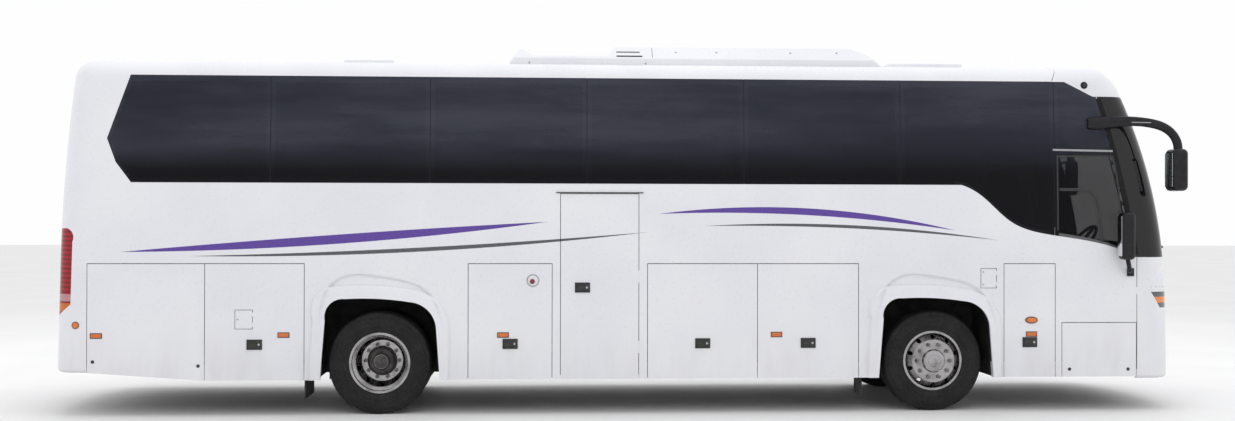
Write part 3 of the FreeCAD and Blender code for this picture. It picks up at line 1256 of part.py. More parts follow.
def write_all():
    flares = [arch_flare(REAR_AXLE_X), arch_flare(FRONT_AXLE_X)]
    right = joined([right_wall()] + flares).cut(flap_pocket(WATER_FLAP))
    leaves = front_hinges(DOOR_FRONT, MID_DOOR_HINGES)[1]
    leaves += front_hinges(WATER_FLAP[1], flap_hinges(WATER_FLAP))[1]
    for name, x0, x1, top in RIGHT_LIDS:
        leaves += top_hinges(x0, x1, top, RIGHT)[1]
    save("side_wall_right", [joined([right] + leaves)])
    leaves = []
    for name, x0, x1, top in LEFT_LIDS:
        leaves += top_hinges(x0, x1, top, LEFT)[1]
    save("side_wall_left", [joined([left_wall()] + [mirrored(flare) for flare in flares] + leaves)])
    save("side_glass_right", [glass_panes(RIGHT, band(0.0, RIGHT))])
    door_hole = prism_y(entrance_points(PANEL_GAP), *LEFT)
    save("side_glass_left", [glass_panes(LEFT, band(0.0, LEFT)).cut(door_hole)])
    for name, x0, x1, top in RIGHT_LIDS:
        panel = side_lid(name, x0, x1, top, RIGHT)
        if name == "engine_side_lid_right":
            hinges = front_hinges(FUEL_FLAP[1], flap_hinges(FUEL_FLAP))[1]
            panel = joined([panel.cut(flap_pocket(FUEL_FLAP))] + hinges)
        save(name, [panel])
    for name, x0, x1, top in LEFT_LIDS:
        save(name, [side_lid(name, x0, x1, top, LEFT)])
    save("mid_door", [mid_door()])
    save("fuel_flap", [small_flap(FUEL_FLAP)])
    save("water_flap", [small_flap(WATER_FLAP)])
    save("entrance_door", [entrance_leaf()])
    save("entrance_door_glass", [SKIN.common(prism_y(door_glass_outline(0.0), *LEFT))])
    save("entrance_arm", [entrance_arm()])
    names = ("front_cap", "windscreen", "screen_frame", "front_mask", "front_bumper", "headlamps")
    for name, piece in zip(names, front_pieces()):
        save(name, [piece])
    names = ("rear_panel", "rear_bumper", "tail_lamps", "rear_window", "engine_door")
    for name, piece in zip(names, rear_pieces()):
        save(name, [piece])
    save("roof", [roof()])
    save("roof_hatches", roof_hatches())
    save("ac_unit", [ac_unit()])
    save("floor", [floor()])
    save("cab_floor_and_stairs", [cab_floor()] + stairs())
    save("luggage_bays", [bay_floor()] + bay_frames())
    housings = [liner(FRONT_AXLE_X), liner(REAR_AXLE_X)]
    save("wheel_housings", housings + [mirrored(shape) for shape in housings])
    rear_flap = mud_flap(REAR_AXLE_X, 730.0, 600.0, 1200.0)
    front_flap = mud_flap(FRONT_AXLE_X, 730.0, 870.0, 1200.0)
    save("mud_flaps", [rear_flap, mirrored(rear_flap), front_flap, mirrored(front_flap)])
    save("chassis", [chassis()])
    save("engine", [engine()])
    save("axles", [rear_axle(), front_axle()])
    save("dashboard", [dashboard()])
    save("seats_right", seats(RIGHT) + [driver_seat()])
    save("seats_left", seats(LEFT))
    save("luggage_racks", luggage_racks())
    save("mirrors", [mirror_arm(), mirrored(mirror_arm()), lower_mirror()])
    save("wipers", wipers())
    right_knuckle = knuckle()
    save("knuckle_right", [right_knuckle])
    save("knuckle_left", [mirrored(right_knuckle)])
    front_tyre, front_rim = front_wheel()
    rear_tyres, rear_rim = rear_wheel()
    save("tyre_front_right", [at(front_tyre, FRONT_AXLE_X)])
    save("rim_front_right", [at(front_rim, FRONT_AXLE_X)])
    save("tyre_front_left", [mirrored(at(front_tyre, FRONT_AXLE_X))])
    save("rim_front_left", [mirrored(at(front_rim, FRONT_AXLE_X))])
    save("tyres_rear_right", [at(shape, REAR_AXLE_X) for shape in rear_tyres])
    save("rims_rear_right", [at(rear_rim, REAR_AXLE_X)])
    save("tyres_rear_left", [mirrored(at(shape, REAR_AXLE_X)) for shape in rear_tyres])
    save("rims_rear_left", [mirrored(at(rear_rim, REAR_AXLE_X))])


write_all()
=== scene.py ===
import bpy
import bmesh
import math
from mathutils import Matrix, Vector


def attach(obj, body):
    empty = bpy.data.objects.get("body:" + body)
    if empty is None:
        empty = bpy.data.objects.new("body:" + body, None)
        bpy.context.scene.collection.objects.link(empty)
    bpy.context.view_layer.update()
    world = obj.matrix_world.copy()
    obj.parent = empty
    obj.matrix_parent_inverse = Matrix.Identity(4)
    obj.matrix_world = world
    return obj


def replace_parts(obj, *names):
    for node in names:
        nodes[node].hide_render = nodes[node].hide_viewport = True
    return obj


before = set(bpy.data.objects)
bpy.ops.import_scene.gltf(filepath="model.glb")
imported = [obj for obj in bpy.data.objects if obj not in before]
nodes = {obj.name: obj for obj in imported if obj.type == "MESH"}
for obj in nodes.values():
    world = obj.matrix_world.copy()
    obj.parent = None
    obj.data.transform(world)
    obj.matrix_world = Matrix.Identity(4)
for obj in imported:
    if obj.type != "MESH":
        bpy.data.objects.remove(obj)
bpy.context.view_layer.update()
scene = bpy.context.scene


# The chassis is two long steel rails with cross members, welded and dipped in black paint.
# It carries both axles, the engine block and, on uprights, the whole body.

def wired(tree, kind, settings, values):
    """A new node of a tree, with its settings made and its inputs linked or filled in."""
    node = tree.nodes.new(kind)
    for key, value in settings.items():
        setattr(node, key, value)
    for key, value in values.items():
        if isinstance(value, bpy.types.NodeSocket):
            tree.links.new(value, node.inputs[key])
        else:
            node.inputs[key].default_value = value
    return node


class Signal:
    """One output of a shader node; arithmetic on it adds Math nodes."""

    def __init__(self, finish, socket):
        self.finish = finish
        self.socket = socket

    def combined(self, operation, first, second):
        return self.finish.node("ShaderNodeMath", {"operation": operation}, {0: first, 1: second})

    def __add__(self, other):
        return self.combined("ADD", self, other)

    __radd__ = __add__

    def __sub__(self, other):
        return self.combined("SUBTRACT", self, other)

    def __rsub__(self, other):
        return self.combined("SUBTRACT", other, self)

    def __mul__(self, other):
        return self.combined("MULTIPLY", self, other)

    def __truediv__(self, other):
        return self.combined("DIVIDE", self, other)

    def __gt__(self, other):
        return self.combined("GREATER_THAN", self, other)

    def __lt__(self, other):
        return self.combined("LESS_THAN", self, other)

    def at_least(self, other):
        return self.combined("MAXIMUM", self, other)

    def size(self):
        return self.combined("ABSOLUTE", self, 0.0)

    def near(self, place, reach):
        """1 where the signal lies within reach of a place."""
        return (self - place).size() < reach

    def between(self, low, high):
        return (self > low) * (self < high)

    def ramp(self, low, high, start=0.0, end=1.0):
        """A smooth climb from start to end as the signal goes from low to high."""
        values = {"Value": self, "From Min": low, "From Max": high, "To Min": start, "To Max": end}
        return self.finish.node("ShaderNodeMapRange", {"interpolation_type": "SMOOTHSTEP"}, values)


class Finish:
    """A material on the Principled shader; constants sit on its own sockets."""

    def __init__(self, name, slot="", **constants):
        self.slot = slot
        self.material = bpy.data.materials.new(name)
        self.material.use_nodes = True
        self.tree = self.material.node_tree
        self.tree.nodes.clear()
        self.shader = self.tree.nodes.new("ShaderNodeBsdfPrincipled")
        output = self.tree.nodes.new("ShaderNodeOutputMaterial")
        self.tree.links.new(self.shader.outputs[0], output.inputs["Surface"])
        for label, value in constants.items():
            self.shader.inputs[label.replace("_", " ")].default_value = value
        self.coordinates = self.node("ShaderNodeTexCoord", {}, {}, "Object")

    def node(self, kind, settings, values, output=0):
        plain = {key: v.socket if isinstance(v, Signal) else v for key, v in values.items()}
        return Signal(self, wired(self.tree, kind, settings, plain).outputs[output])

    def feed(self, label, signal):
        self.tree.links.new(signal.socket, self.shader.inputs[label])

    def axis(self, letter):
        return self.node("ShaderNodeSeparateXYZ", {}, {0: self.coordinates}, letter)

    def noise(self, scale, detail=4.0, rough=0.55, stretch=(1.0, 1.0, 1.0)):
        place = self.node("ShaderNodeMapping", {}, {"Vector": self.coordinates, "Scale": stretch})
        values = {"Vector": place, "Scale": scale, "Detail": detail, "Roughness": rough}
        return self.node("ShaderNodeTexNoise", {}, values)

    def cells(self, scale, scatter=1.0):
        values = {"Vector": self.coordinates, "Scale": scale, "Randomness": scatter}
        return self.node("ShaderNodeTexVoronoi", {}, values)

    def blend(self, factor, first, second):
        """A colour between two, each a signal or three numbers."""
        pair = [c if isinstance(c, Signal) else (*c, 1.0) for c in (first, second)]
        values = {0: factor, 6: pair[0], 7: pair[1]}
        return self.node("ShaderNodeMix", {"data_type": "RGBA"}, values, 2)

    def mottle(self, scale, first, second, low=0.3, high=0.7):
        """Base colour that drifts between two tones."""
        self.feed("Base Color", self.blend(self.noise(scale).ramp(low, high), first, second))

    def grain(self, scale, low, high, start=0.3, end=0.7):
        """Roughness that varies from low to high."""
        self.feed("Roughness", self.noise(scale).ramp(start, end, low, high))

    def bump(self, height, strength, distance):
        values = {"Height": height, "Strength": strength, "Distance": distance}
        self.feed("Normal", self.node("ShaderNodeBump", {}, values))


def dress(finish, *names):
    """Gives CAD nodes their finish."""
    for name in names:
        nodes[name].data.materials.clear()
        nodes[name].data.materials.append(finish.material)


def worn(name, low, high, rough, scale, bump=0.0, distance=0.001, **constants):
    """A finish whose colour and roughness drift between two states over the surface."""
    finish = Finish(name, **constants)
    finish.mottle(scale, low, high)
    grain = finish.noise(scale * 9.0)
    finish.feed("Roughness", grain.ramp(0.3, 0.7, rough[0], rough[1]))
    if bump:
        finish.bump(grain, bump, distance)
    return finish


FRAME_BLACK = worn(
    "frame_black_paint", (0.018, 0.018, 0.019), (0.05, 0.045, 0.04), (0.45, 0.75), 5.0, 0.2)
dress(FRAME_BLACK, "chassis", "luggage_bays", "entrance_arm")


# The axles are forged and cast steel with rubber air bellows, painted black and dulled by dust.
# The front beam carries the steering knuckles on kingpins; the rear one holds the final drive.

AXLE_STEEL = worn("axle_steel", (0.03, 0.029, 0.028), (0.10, 0.085, 0.07), (0.55, 0.85), 7.0, 0.4)
dress(AXLE_STEEL, "axles", "knuckle_right", "knuckle_left")


# The engine stands crosswise behind the rear axle as one cast block with rubber-mounted feet.
# It is cast iron, left as it comes from the sand, with an oily bloom.

CAST_IRON = worn(
    "cast_iron", (0.06, 0.06, 0.062), (0.13, 0.12, 0.11), (0.5, 0.8), 9.0, 0.6, 0.002, Metallic=0.6)
dress(CAST_IRON, "engine")


# The tyres are 1.01 m radials with ribbed highway tread, two at each rear side and one in front.
# Black rubber moulded in one piece, with rings on the sidewall and small blocks on the shoulder.

SIDES = (("right", -1), ("left", 1))
AXLE_HEIGHT = 0.505
FRONT_AXLE, REAR_AXLE = 3.09, -2.45
WHEELS = (
    ("front", "tyre_front", "wheel_front", FRONT_AXLE, (1.058,)),
    ("rear", "tyres_rear", "wheels_rear", REAR_AXLE, (1.088, 0.760)))
TREAD_RADIUS = 0.505
TREAD_STEPS = 192
CROWN_DROP = 0.12
GROOVE_DEPTH = 0.013
GROOVE_PLACES = (-0.078, -0.027, 0.027, 0.078)
GROOVE_HALF = 0.005
GROOVE_SLOPE = 0.001
SHOULDER_RADII = (0.490, 0.500)
SHOULDER_FROM = 0.11
NOTCH_DEPTH = 0.006
NOTCH_EVERY = 4
SIDEWALL = (
    (0.288, 0.104), (0.296, 0.118), (0.304, 0.121), (0.306, 0.128), (0.325, 0.134),
    (0.352, 0.141), (0.356, 0.1445), (0.366, 0.1445), (0.370, 0.1415), (0.405, 0.1435),
    (0.440, 0.1385), (0.443, 0.1405), (0.449, 0.1395), (0.452, 0.136), (0.474, 0.1305),
    (0.4825, 0.128), (0.491, 0.124), (0.498, 0.117), (0.5025, 0.104))
BEAD = [(0.282, 0.100), (0.282, -0.100)]

RUBBER = Finish("tyre_rubber", slot="tyre", Specular_IOR_Level=0.35)
RUBBER.mottle(6.0, (0.005, 0.005, 0.006), (0.014, 0.013, 0.014), 0.35, 0.75)
RUBBER.grain(40.0, 0.55, 0.82)
RUBBER.bump(RUBBER.noise(300.0), 0.25, 0.0008)


def finished(name, mesh, smooth=35.0):
    """A mesh turned into an object with outward normals and soft shading."""
    work = bmesh.new()
    work.from_mesh(mesh)
    bmesh.ops.remove_doubles(work, verts=work.verts, dist=1e-5)
    bmesh.ops.recalc_face_normals(work, faces=work.faces)
    work.to_mesh(mesh)
    work.free()
    if "custom_normal" in mesh.attributes:
        mesh.attributes.remove(mesh.attributes["custom_normal"])
    piece = bpy.data.objects.new(name, mesh)
    scene.collection.objects.link(piece)
    mesh.shade_smooth()
    mesh.set_sharp_from_angle(angle=math.radians(smooth))
    return piece


def fixed(piece, finish, body="coach_body"):
    """Finish, body and material slot of one new piece."""
    piece.data.materials.clear()
    piece.data.materials.append(finish.material)
    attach(piece, body)
    return piece


def revolved(name, outline, centre, outward, segments, notched=()):
    """A ring turned about the Y axis from (radius, outward) points; some are notched in steps."""
    verts, faces = [], []
    count = len(outline)
    for step in range(segments):
        angle = 2 * math.pi * step / segments
        for index, (radius, along) in enumerate(outline):
            if step % NOTCH_EVERY == 0 and index in notched:
                radius -= NOTCH_DEPTH
            verts.append((
                centre[0] + radius * math.sin(angle), centre[1] + along * outward,
                centre[2] + radius * math.cos(angle)))
    for step in range(segments):
        here, there = step * count, (step + 1) % segments * count
        for index in range(count):
            after = (index + 1) % count
            faces.append((here + index, here + after, there + after, there + index))
    mesh = bpy.data.meshes.new(name)
    mesh.from_pydata(verts, [], faces)
    return finished(name, mesh)


def tyre_outline():
    """Section points (radius, outward) from the inner bead over the tread to the outer bead."""
    points = [(radius, -along) for radius, along in SIDEWALL]
    for place in GROOVE_PLACES:
        crown = TREAD_RADIUS - CROWN_DROP * place * place
        floor = crown - GROOVE_DEPTH
        a, b = place - GROOVE_HALF, place + GROOVE_HALF
        points += [(crown, a - GROOVE_SLOPE), (floor, a + GROOVE_SLOPE)]
        points += [(floor, b - GROOVE_SLOPE), (crown, b + GROOVE_SLOPE)]
    return points + list(reversed(SIDEWALL)) + BEAD


section = tyre_outline()
shoulder = [
    i for i, (radius, along) in enumerate(section)
    if SHOULDER_RADII[0] < radius < SHOULDER_RADII[1] and abs(along) > SHOULDER_FROM]
for end, tyre, body, axle_x, places in WHEELS:
    for side, outward in SIDES:
        for number, y in enumerate(places):
            centre = (axle_x, outward * y, AXLE_HEIGHT)
            piece = revolved(
                f"{tyre}_{side}_{number}_tread", section, centre, outward, TREAD_STEPS, shoulder)
            fixed(piece, RUBBER, f"{body}_{side}")
            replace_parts(piece, f"{tyre}_{side}")


# The rims are polished disc wheels with ten hand holes, each held by ten nuts on a 335 mm circle.
# The front hub shows a stepped cap, the rear one a dark drive flange deep in the disc.

RIM_METAL = Finish("polished_rim", slot="rim_steel", Metallic=1.0, Anisotropic=0.3)
RIM_METAL.mottle(8.0, (0.40, 0.39, 0.395), (0.22, 0.21, 0.21), 0.4, 0.75)
brushed = RIM_METAL.noise(60.0, stretch=(1.0, 0.15, 1.0))
RIM_METAL.feed("Roughness", brushed.ramp(0.3, 0.7, 0.20, 0.36))
RIM_METAL.bump(brushed, 0.1, 0.0005)
dress(RIM_METAL, "rim_front_right", "rim_front_left", "rims_rear_right", "rims_rear_left")
NUT_METAL = worn(
    "nut_metal", (0.35, 0.35, 0.36), (0.20, 0.19, 0.18), (0.3, 0.5), 30.0,
    slot="rim_steel", Metallic=1.0)
HUB_DARK = worn(
    "hub_dark_paint", (0.03, 0.03, 0.032), (0.08, 0.07, 0.065), (0.4, 0.7), 20.0, 0.2,
    slot="rim_steel")


class Growth:
    """A Geometry Nodes tree with named inputs; grown() turns it into a plain mesh."""

    def __init__(self, name, inputs):
        self.tree = bpy.data.node_groups.new(name, "GeometryNodeTree")
        interface = self.tree.interface
        interface.new_socket("Geometry", in_out="OUTPUT", socket_type="NodeSocketGeometry")
        self.sockets = {}
        for label, kind in inputs.items():
            socket = interface.new_socket(label, in_out="INPUT", socket_type="NodeSocket" + kind)
            self.sockets[label] = socket.identifier
        self.source = self.tree.nodes.new("NodeGroupInput")
        self.sink = self.tree.nodes.new("NodeGroupOutput")

    def node(self, kind, settings, values, output=0):
        inputs = self.source.outputs
        plain = {key: inputs[v] if isinstance(v, str) else v for key, v in values.items()}
        return wired(self.tree, kind, settings, plain).outputs[output]

    def close(self, geometry):
        solid = self.node("GeometryNodeRealizeInstances", {}, {0: geometry})
        values = {"Geometry": solid, "Material": "Finish"}
        painted = self.node("GeometryNodeSetMaterial", {}, values)
        self.tree.links.new(painted, self.sink.inputs[0])

    def grown(self, name, values):
        holder = bpy.data.objects.new(name, bpy.data.meshes.new(name + "_seed"))
        scene.collection.objects.link(holder)
        modifier = holder.modifiers.new("grow", "NODES")
        modifier.node_group = self.tree
        for label, value in values.items():
            value = value.material if isinstance(value, Finish) else value
            modifier[self.sockets[label]] = value
        evaluated = holder.evaluated_get(bpy.context.evaluated_depsgraph_get())
        mesh = bpy.data.meshes.new_from_object(evaluated)
        bpy.data.objects.remove(holder)
        return finished(name, mesh)


NUT_COUNT = 10
NUT_CIRCLE = 0.1675
NUT_RADIUS = 0.0185
NUT_HEIGHT = 0.032
WASHER = {"Vertices": 20, "Radius": 0.021, "Depth": 0.010}
STUD = {"Vertices": 12, "Radius": 0.010, "Depth": 0.062}
STUD_TIP = {"Segments": 12, "Rings": 6, "Radius": 0.012}
TIP_HEIGHT = 0.026
NUT_REACH = {"front": 0.177, "rear": 0.030}
FRONT_CAP = (
    (0.0, 0.204), (0.056, 0.204), (0.062, 0.200), (0.064, 0.196), (0.098, 0.192),
    (0.106, 0.186), (0.115, 0.170), (0.118, 0.165), (0.128, 0.1645))
REAR_HUB = (
    (0.0, 0.168), (0.040, 0.168), (0.066, 0.162), (0.074, 0.150), (0.078, 0.104), (0.086, 0.098),
    (0.108, 0.103), (0.120, 0.098), (0.130, 0.086), (0.134, 0.020), (0.150, 0.016))
COVER_WALL = 0.004
COVER_INNER = 0.98
COVER_STEPS = 64

NUTS = Growth("wheel_nuts", {
    "Count": "Int", "Circle": "Float", "Across": "Float", "Tall": "Float", "Place": "Vector",
    "Turn": "Vector", "Finish": "Material"})
ring = NUTS.node("GeometryNodeMeshCircle", {}, {"Vertices": "Count", "Radius": "Circle"})
nut = NUTS.node(
    "GeometryNodeMeshCylinder", {}, {"Vertices": 6, "Radius": "Across", "Depth": "Tall"})
washer = NUTS.node("GeometryNodeMeshCylinder", {}, WASHER)
stud = NUTS.node("GeometryNodeMeshCylinder", {}, STUD)
tip = NUTS.node("GeometryNodeMeshUVSphere", {}, STUD_TIP)
raised = NUTS.node("GeometryNodeTransform", {}, {0: tip, "Translation": (0.0, 0.0, TIP_HEIGHT)})
joint = NUTS.node("GeometryNodeJoinGeometry", {}, {})
for part in (nut, washer, stud, raised):
    NUTS.tree.links.new(part, joint.node.inputs[0])
each = NUTS.node("GeometryNodeInstanceOnPoints", {}, {"Points": ring, "Instance": joint})
NUTS.close(NUTS.node(
    "GeometryNodeTransform", {}, {0: each, "Translation": "Place", "Rotation": "Turn"}))

for end, _, body, axle_x, places in WHEELS:
    for side, outward in SIDES:
        middle = outward * sum(places) / len(places)
        values = {
            "Count": NUT_COUNT, "Circle": NUT_CIRCLE, "Across": NUT_RADIUS, "Tall": NUT_HEIGHT,
            "Place": (axle_x, middle + outward * NUT_REACH[end], AXLE_HEIGHT),
            "Turn": (-outward * math.pi / 2, 0.0, 0.0), "Finish": NUT_METAL}
        fixed(NUTS.grown(f"wheel_nuts_{end}_{side}", values), NUT_METAL, f"{body}_{side}")
for end, _, body, axle_x, places in WHEELS:
    cover, finish = (FRONT_CAP, RIM_METAL) if end == "front" else (REAR_HUB, HUB_DARK)
    back = [(r * COVER_INNER, a - COVER_WALL) for r, a in reversed(cover[1:-1])]
    rim = (cover[-1][0], cover[-1][1] - COVER_WALL)
    closed = [*cover, rim, *back, (0.0, cover[0][1] - COVER_WALL)]
    for side, outward in SIDES:
        centre = (axle_x, outward * sum(places) / len(places), AXLE_HEIGHT)
        piece = revolved(f"hub_cover_{end}_{side}", closed, centre, outward, COVER_STEPS)
        fixed(piece, finish, f"{body}_{side}")


# The wheel housings are pressed and welded steel boxes, sprayed with black underbody coating.
# The mud flaps are sheets of black rubber bolted to arms behind each wheel.

UNDERCOAT = worn(
    "underbody_coating", (0.010, 0.010, 0.011), (0.035, 0.032, 0.030), (0.7, 0.95), 8.0, 0.5, 0.002)
dress(UNDERCOAT, "wheel_housings")
FLAP_RUBBER = worn(
    "flap_rubber", (0.016, 0.016, 0.017), (0.06, 0.055, 0.05), (0.6, 0.85), 10.0, 0.3)
dress(FLAP_RUBBER, "mud_flaps")


# The saloon floor is plywood on steel under grey studded sheet; cab floor and stairs wear the same.
# The sheet is glued down, with small raised studs that a bump pattern carries.

FLOORING = Finish("studded_flooring")
FLOORING.mottle(3.0, (0.13, 0.13, 0.14), (0.19, 0.185, 0.18), 0.35, 0.7)
FLOORING.grain(25.0, 0.5, 0.75)
FLOORING.bump(FLOORING.cells(45.0, 0.0).ramp(0.2, 0.35, 1.0, 0.0), 0.5, 0.001)
dress(FLOORING, "floor", "cab_floor_and_stairs")


# The seats are foam cushions in dark blue patterned cloth on steel feet, two to a bench.
# Each cushion and back is a crowned pad with sewn channels, and a head roll sits on top.

SEAT_CLOTH = Finish("seat_cloth", slot="seat_cloth", Sheen_Weight=0.4, Sheen_Roughness=0.5)
weave = SEAT_CLOTH.noise(900.0, 2.0, stretch=(1.0, 1.0, 0.3))
fleck = SEAT_CLOTH.cells(60.0) < 0.18
blue = SEAT_CLOTH.noise(12.0).ramp(0.3, 0.7)
blue = SEAT_CLOTH.blend(blue, (0.035, 0.045, 0.11), (0.05, 0.06, 0.13))
SEAT_CLOTH.feed("Base Color", SEAT_CLOTH.blend(fleck * 0.5, blue, (0.22, 0.20, 0.26)))
SEAT_CLOTH.feed("Roughness", weave.ramp(0.3, 0.7, 0.8, 0.98))
SEAT_CLOTH.bump(weave, 0.35, 0.0008)
SEAT_PLASTIC = worn(
    "seat_plastic", (0.03, 0.03, 0.033), (0.05, 0.05, 0.05), (0.4, 0.6), 20.0, 0.15,
    slot="black_plastic")
CUSHION_CROWN = 4.0
CUSHION_STEPS = 14
CHANNEL_WIDTH = 0.035
CHANNEL_DEPTH = 0.07
CLOTH_SMOOTH = 60.0


def meshed(name, work):
    """The plain mesh of a bmesh, which is freed."""
    mesh = bpy.data.meshes.new(name)
    work.to_mesh(mesh)
    work.free()
    return mesh


def pad(work, centre, size, tilt, channels=()):
    """Adds a crowned cushion: a rounded block whose faces swell, with channels sewn across Y."""
    half = [length / 2 for length in size]
    turn = Matrix.Rotation(tilt, 3, "Y")
    first = len(work.verts)
    cube = bmesh.ops.create_cube(work, size=2.0)
    edges = list({edge for vert in cube["verts"] for edge in vert.link_edges})
    bmesh.ops.subdivide_edges(work, edges=edges, cuts=CUSHION_STEPS, use_grid_fill=True)
    for vert in list(work.verts)[first:]:
        swell = sum(abs(step) ** CUSHION_CROWN for step in vert.co) ** (1 / CUSHION_CROWN)
        spot = vert.co / swell
        dent = sum(math.exp(-((spot.y - place) / CHANNEL_WIDTH) ** 2) for place in channels)
        spot = Vector(spot[i] * half[i] for i in range(3)) * (1 - CHANNEL_DEPTH * dent)
        vert.co = turn @ spot + Vector(centre)


def rounded_block(work, low, high, soft):
    """Adds a block with softened edges to a bmesh."""
    cube = bmesh.ops.create_cube(work, size=1.0)
    for vert in cube["verts"]:
        vert.co = Vector(low[i] + (vert.co[i] + 0.5) * (high[i] - low[i]) for i in range(3))
    edges = list({edge for vert in cube["verts"] for edge in vert.link_edges})
    bmesh.ops.bevel(
        work, geom=edges, offset=soft, segments=2, profile=0.5, affect="EDGES", clamp_overlap=True)


def blocks(name, boxes, soft):
    """One piece made of several softened blocks, each (low, high)."""
    work = bmesh.new()
    for low, high in boxes:
        thinnest = min(high[i] - low[i] for i in range(3))
        rounded_block(work, low, high, min(soft, 0.45 * thinnest))
    return finished(name, meshed(name, work))


SALOON_FLOOR = 1.53
FIRST_ROW = -5.028
ROW_PITCH = 0.79
SEAT_MIDDLE = 0.71
SEAT_HALF = 0.225
SEAT_WIDTH = 0.43
BENCH_SOFT = 0.008
CUSHION_TILT, BACK_TILT = -0.05, -0.285
RUNS = (
    ("left", 0, 11, SEAT_MIDDLE), ("right_rear", 0, 5, -SEAT_MIDDLE),
    ("right_front", 7, 4, -SEAT_MIDDLE))

work = bmesh.new()
for y in (-SEAT_HALF, SEAT_HALF):
    pad(work, (0.285, y, 0.395), (0.46, SEAT_WIDTH, 0.115), CUSHION_TILT, (-0.55, 0.55))
    pad(work, (0.010, y, 0.735), (0.135, SEAT_WIDTH, 0.68), BACK_TILT, (-0.5, 0.5))
    pad(work, (-0.105, y, 1.040), (0.105, SEAT_WIDTH * 0.72, 0.135), BACK_TILT)
upholstery = finished("bench_upholstery", meshed("bench_upholstery", work), CLOTH_SMOOTH)
feet = [((0.15, y - 0.02, 0.0), (0.42, y + 0.02, 0.33)) for y in (-0.29, 0.27)]
beams = [((0.08, -0.43, 0.30), (0.16, 0.43, 0.335)), ((0.40, -0.43, 0.30), (0.46, 0.43, 0.335))]
rests = [((-0.02, y - 0.018, 0.56), (0.30, y + 0.018, 0.60)) for y in (-0.44, 0.0, 0.44)]
bench_frame = blocks("bench_frame", feet + beams + rests, BENCH_SOFT)

SEATS = Growth("seat_rows", {
    "Seat": "Object", "First": "Vector", "Step": "Vector", "Rows": "Int", "Finish": "Material"})
line = SEATS.node(
    "GeometryNodeMeshLine", {"mode": "OFFSET"},
    {"Count": "Rows", "Start Location": "First", "Offset": "Step"})
model = SEATS.node("GeometryNodeObjectInfo", {}, {"Object": "Seat"}, 4)
SEATS.close(SEATS.node("GeometryNodeInstanceOnPoints", {}, {"Points": line, "Instance": model}))
for name, first, rows, middle in RUNS:
    for part, model, finish in (
            ("seats", upholstery, SEAT_CLOTH), ("seat_frames", bench_frame, SEAT_PLASTIC)):
        values = {
            "Seat": model, "First": (FIRST_ROW + first * ROW_PITCH, middle, SALOON_FLOOR),
            "Step": (ROW_PITCH, 0.0, 0.0), "Rows": rows, "Finish": finish}
        piece = fixed(SEATS.grown(f"{part}_{name}", values), finish)
        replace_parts(piece, "seats_left" if name == "left" else "seats_right")
        part == "seats"
for model in (upholstery, bench_frame):
    bpy.data.objects.remove(model)


# The driver's seat stands alone on a sprung pedestal: cushion, back and head roll in one cloth.
# The pedestal is a plastic bellows cover between two pressed steel plates.

x, y, z = 4.17, -0.64, 1.04
DRIVER_TILT = -0.20
work = bmesh.new()
pad(work, (x + 0.19, y, z + 0.43), (0.50, 0.49, 0.13), CUSHION_TILT, (-0.55, 0.55))
pad(work, (x - 0.075, y, z + 0.80), (0.135, 0.47, 0.66), DRIVER_TILT, (-0.5, 0.5))
pad(work, (x - 0.175, y, z + 1.165), (0.11, 0.28, 0.17), DRIVER_TILT)
driver_seat = finished("driver_seat", meshed("driver_seat", work), CLOTH_SMOOTH)
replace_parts(fixed(driver_seat, SEAT_CLOTH), "seats_right")
pedestal = blocks("driver_pedestal", [
    ((x + 0.02, y - 0.16, z), (x + 0.31, y + 0.16, z + 0.10)),
    ((x + 0.06, y - 0.12, z + 0.08), (x + 0.27, y + 0.12, z + 0.36)),
    ((x - 0.03, y - 0.2, z + 0.34), (x + 0.38, y + 0.2, z + 0.37))], 0.01)
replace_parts(fixed(pedestal, SEAT_PLASTIC), "seats_right")


# The fascia is moulded grey-black plastic on a steel frame, with binnacle and wheel on the right.
# The luggage racks are extruded aluminium troughs with light grey trim.

FASCIA = worn(
    "fascia_plastic", (0.030, 0.030, 0.033), (0.045, 0.045, 0.047), (0.45, 0.65), 14.0,
    0.3, 0.0006, slot="black_plastic")
dress(FASCIA, "dashboard")
RACK_TRIM = worn(
    "rack_trim", (0.30, 0.30, 0.31), (0.36, 0.36, 0.37), (0.5, 0.7), 6.0, 0.1,
    slot="rack_plastic")
dress(RACK_TRIM, "luggage_racks")


# The body is steel and aluminium panel over a welded tube frame, sprayed off-white under lacquer.
# Lids and doors are sprayed with it. Slim tapered stripes in violet and slate run along each side.
# The seams round lids and doors carry painted shade: their walls, the frame seen behind them and
# the hinge leaves in them are coloured near-black, because the frame behind them is in shadow.

SIDE_Y = 1.275
SIDE_BOW = 28.0
WAIST = 1.486
FRONT_LID_TOP = 0.891
STRIPES_BELOW = 2.25
VIOLET_STRIPES = (
    (-4.95, -0.80, 1.60, 0.30, -0.10, 0.045), (0.30, 3.30, 1.98, -0.16, 0.42, 0.034))
SLATE_STRIPES = (
    (-4.30, 0.20, 1.56, 0.24, -0.22, 0.020), (0.75, 3.75, 1.86, -0.14, 0.26, 0.016))
WAIST_SEAMS = ((-5.25, -3.18), (-1.578, -0.757), (0.196, 2.310), (3.80, 4.321))
FRONT_LID_SEAM = (4.41, 5.14)
SEAM_HALF = 0.0035
SEAM_REACH = 0.012
SKIN_DEPTH = 0.003
ORANGE_PEEL = 0.00001


def stripe(x, z, start, end, foot, rise, bow, thick):
    """A crescent along the side: where it lies, as a 0..1 mask."""
    along = (x - start) / (end - start)
    inside = along * (1.0 - along)
    centre = along * rise + inside * bow + foot
    return ((z - centre).size() < inside * (4.0 * thick)) * (inside > 0.0)


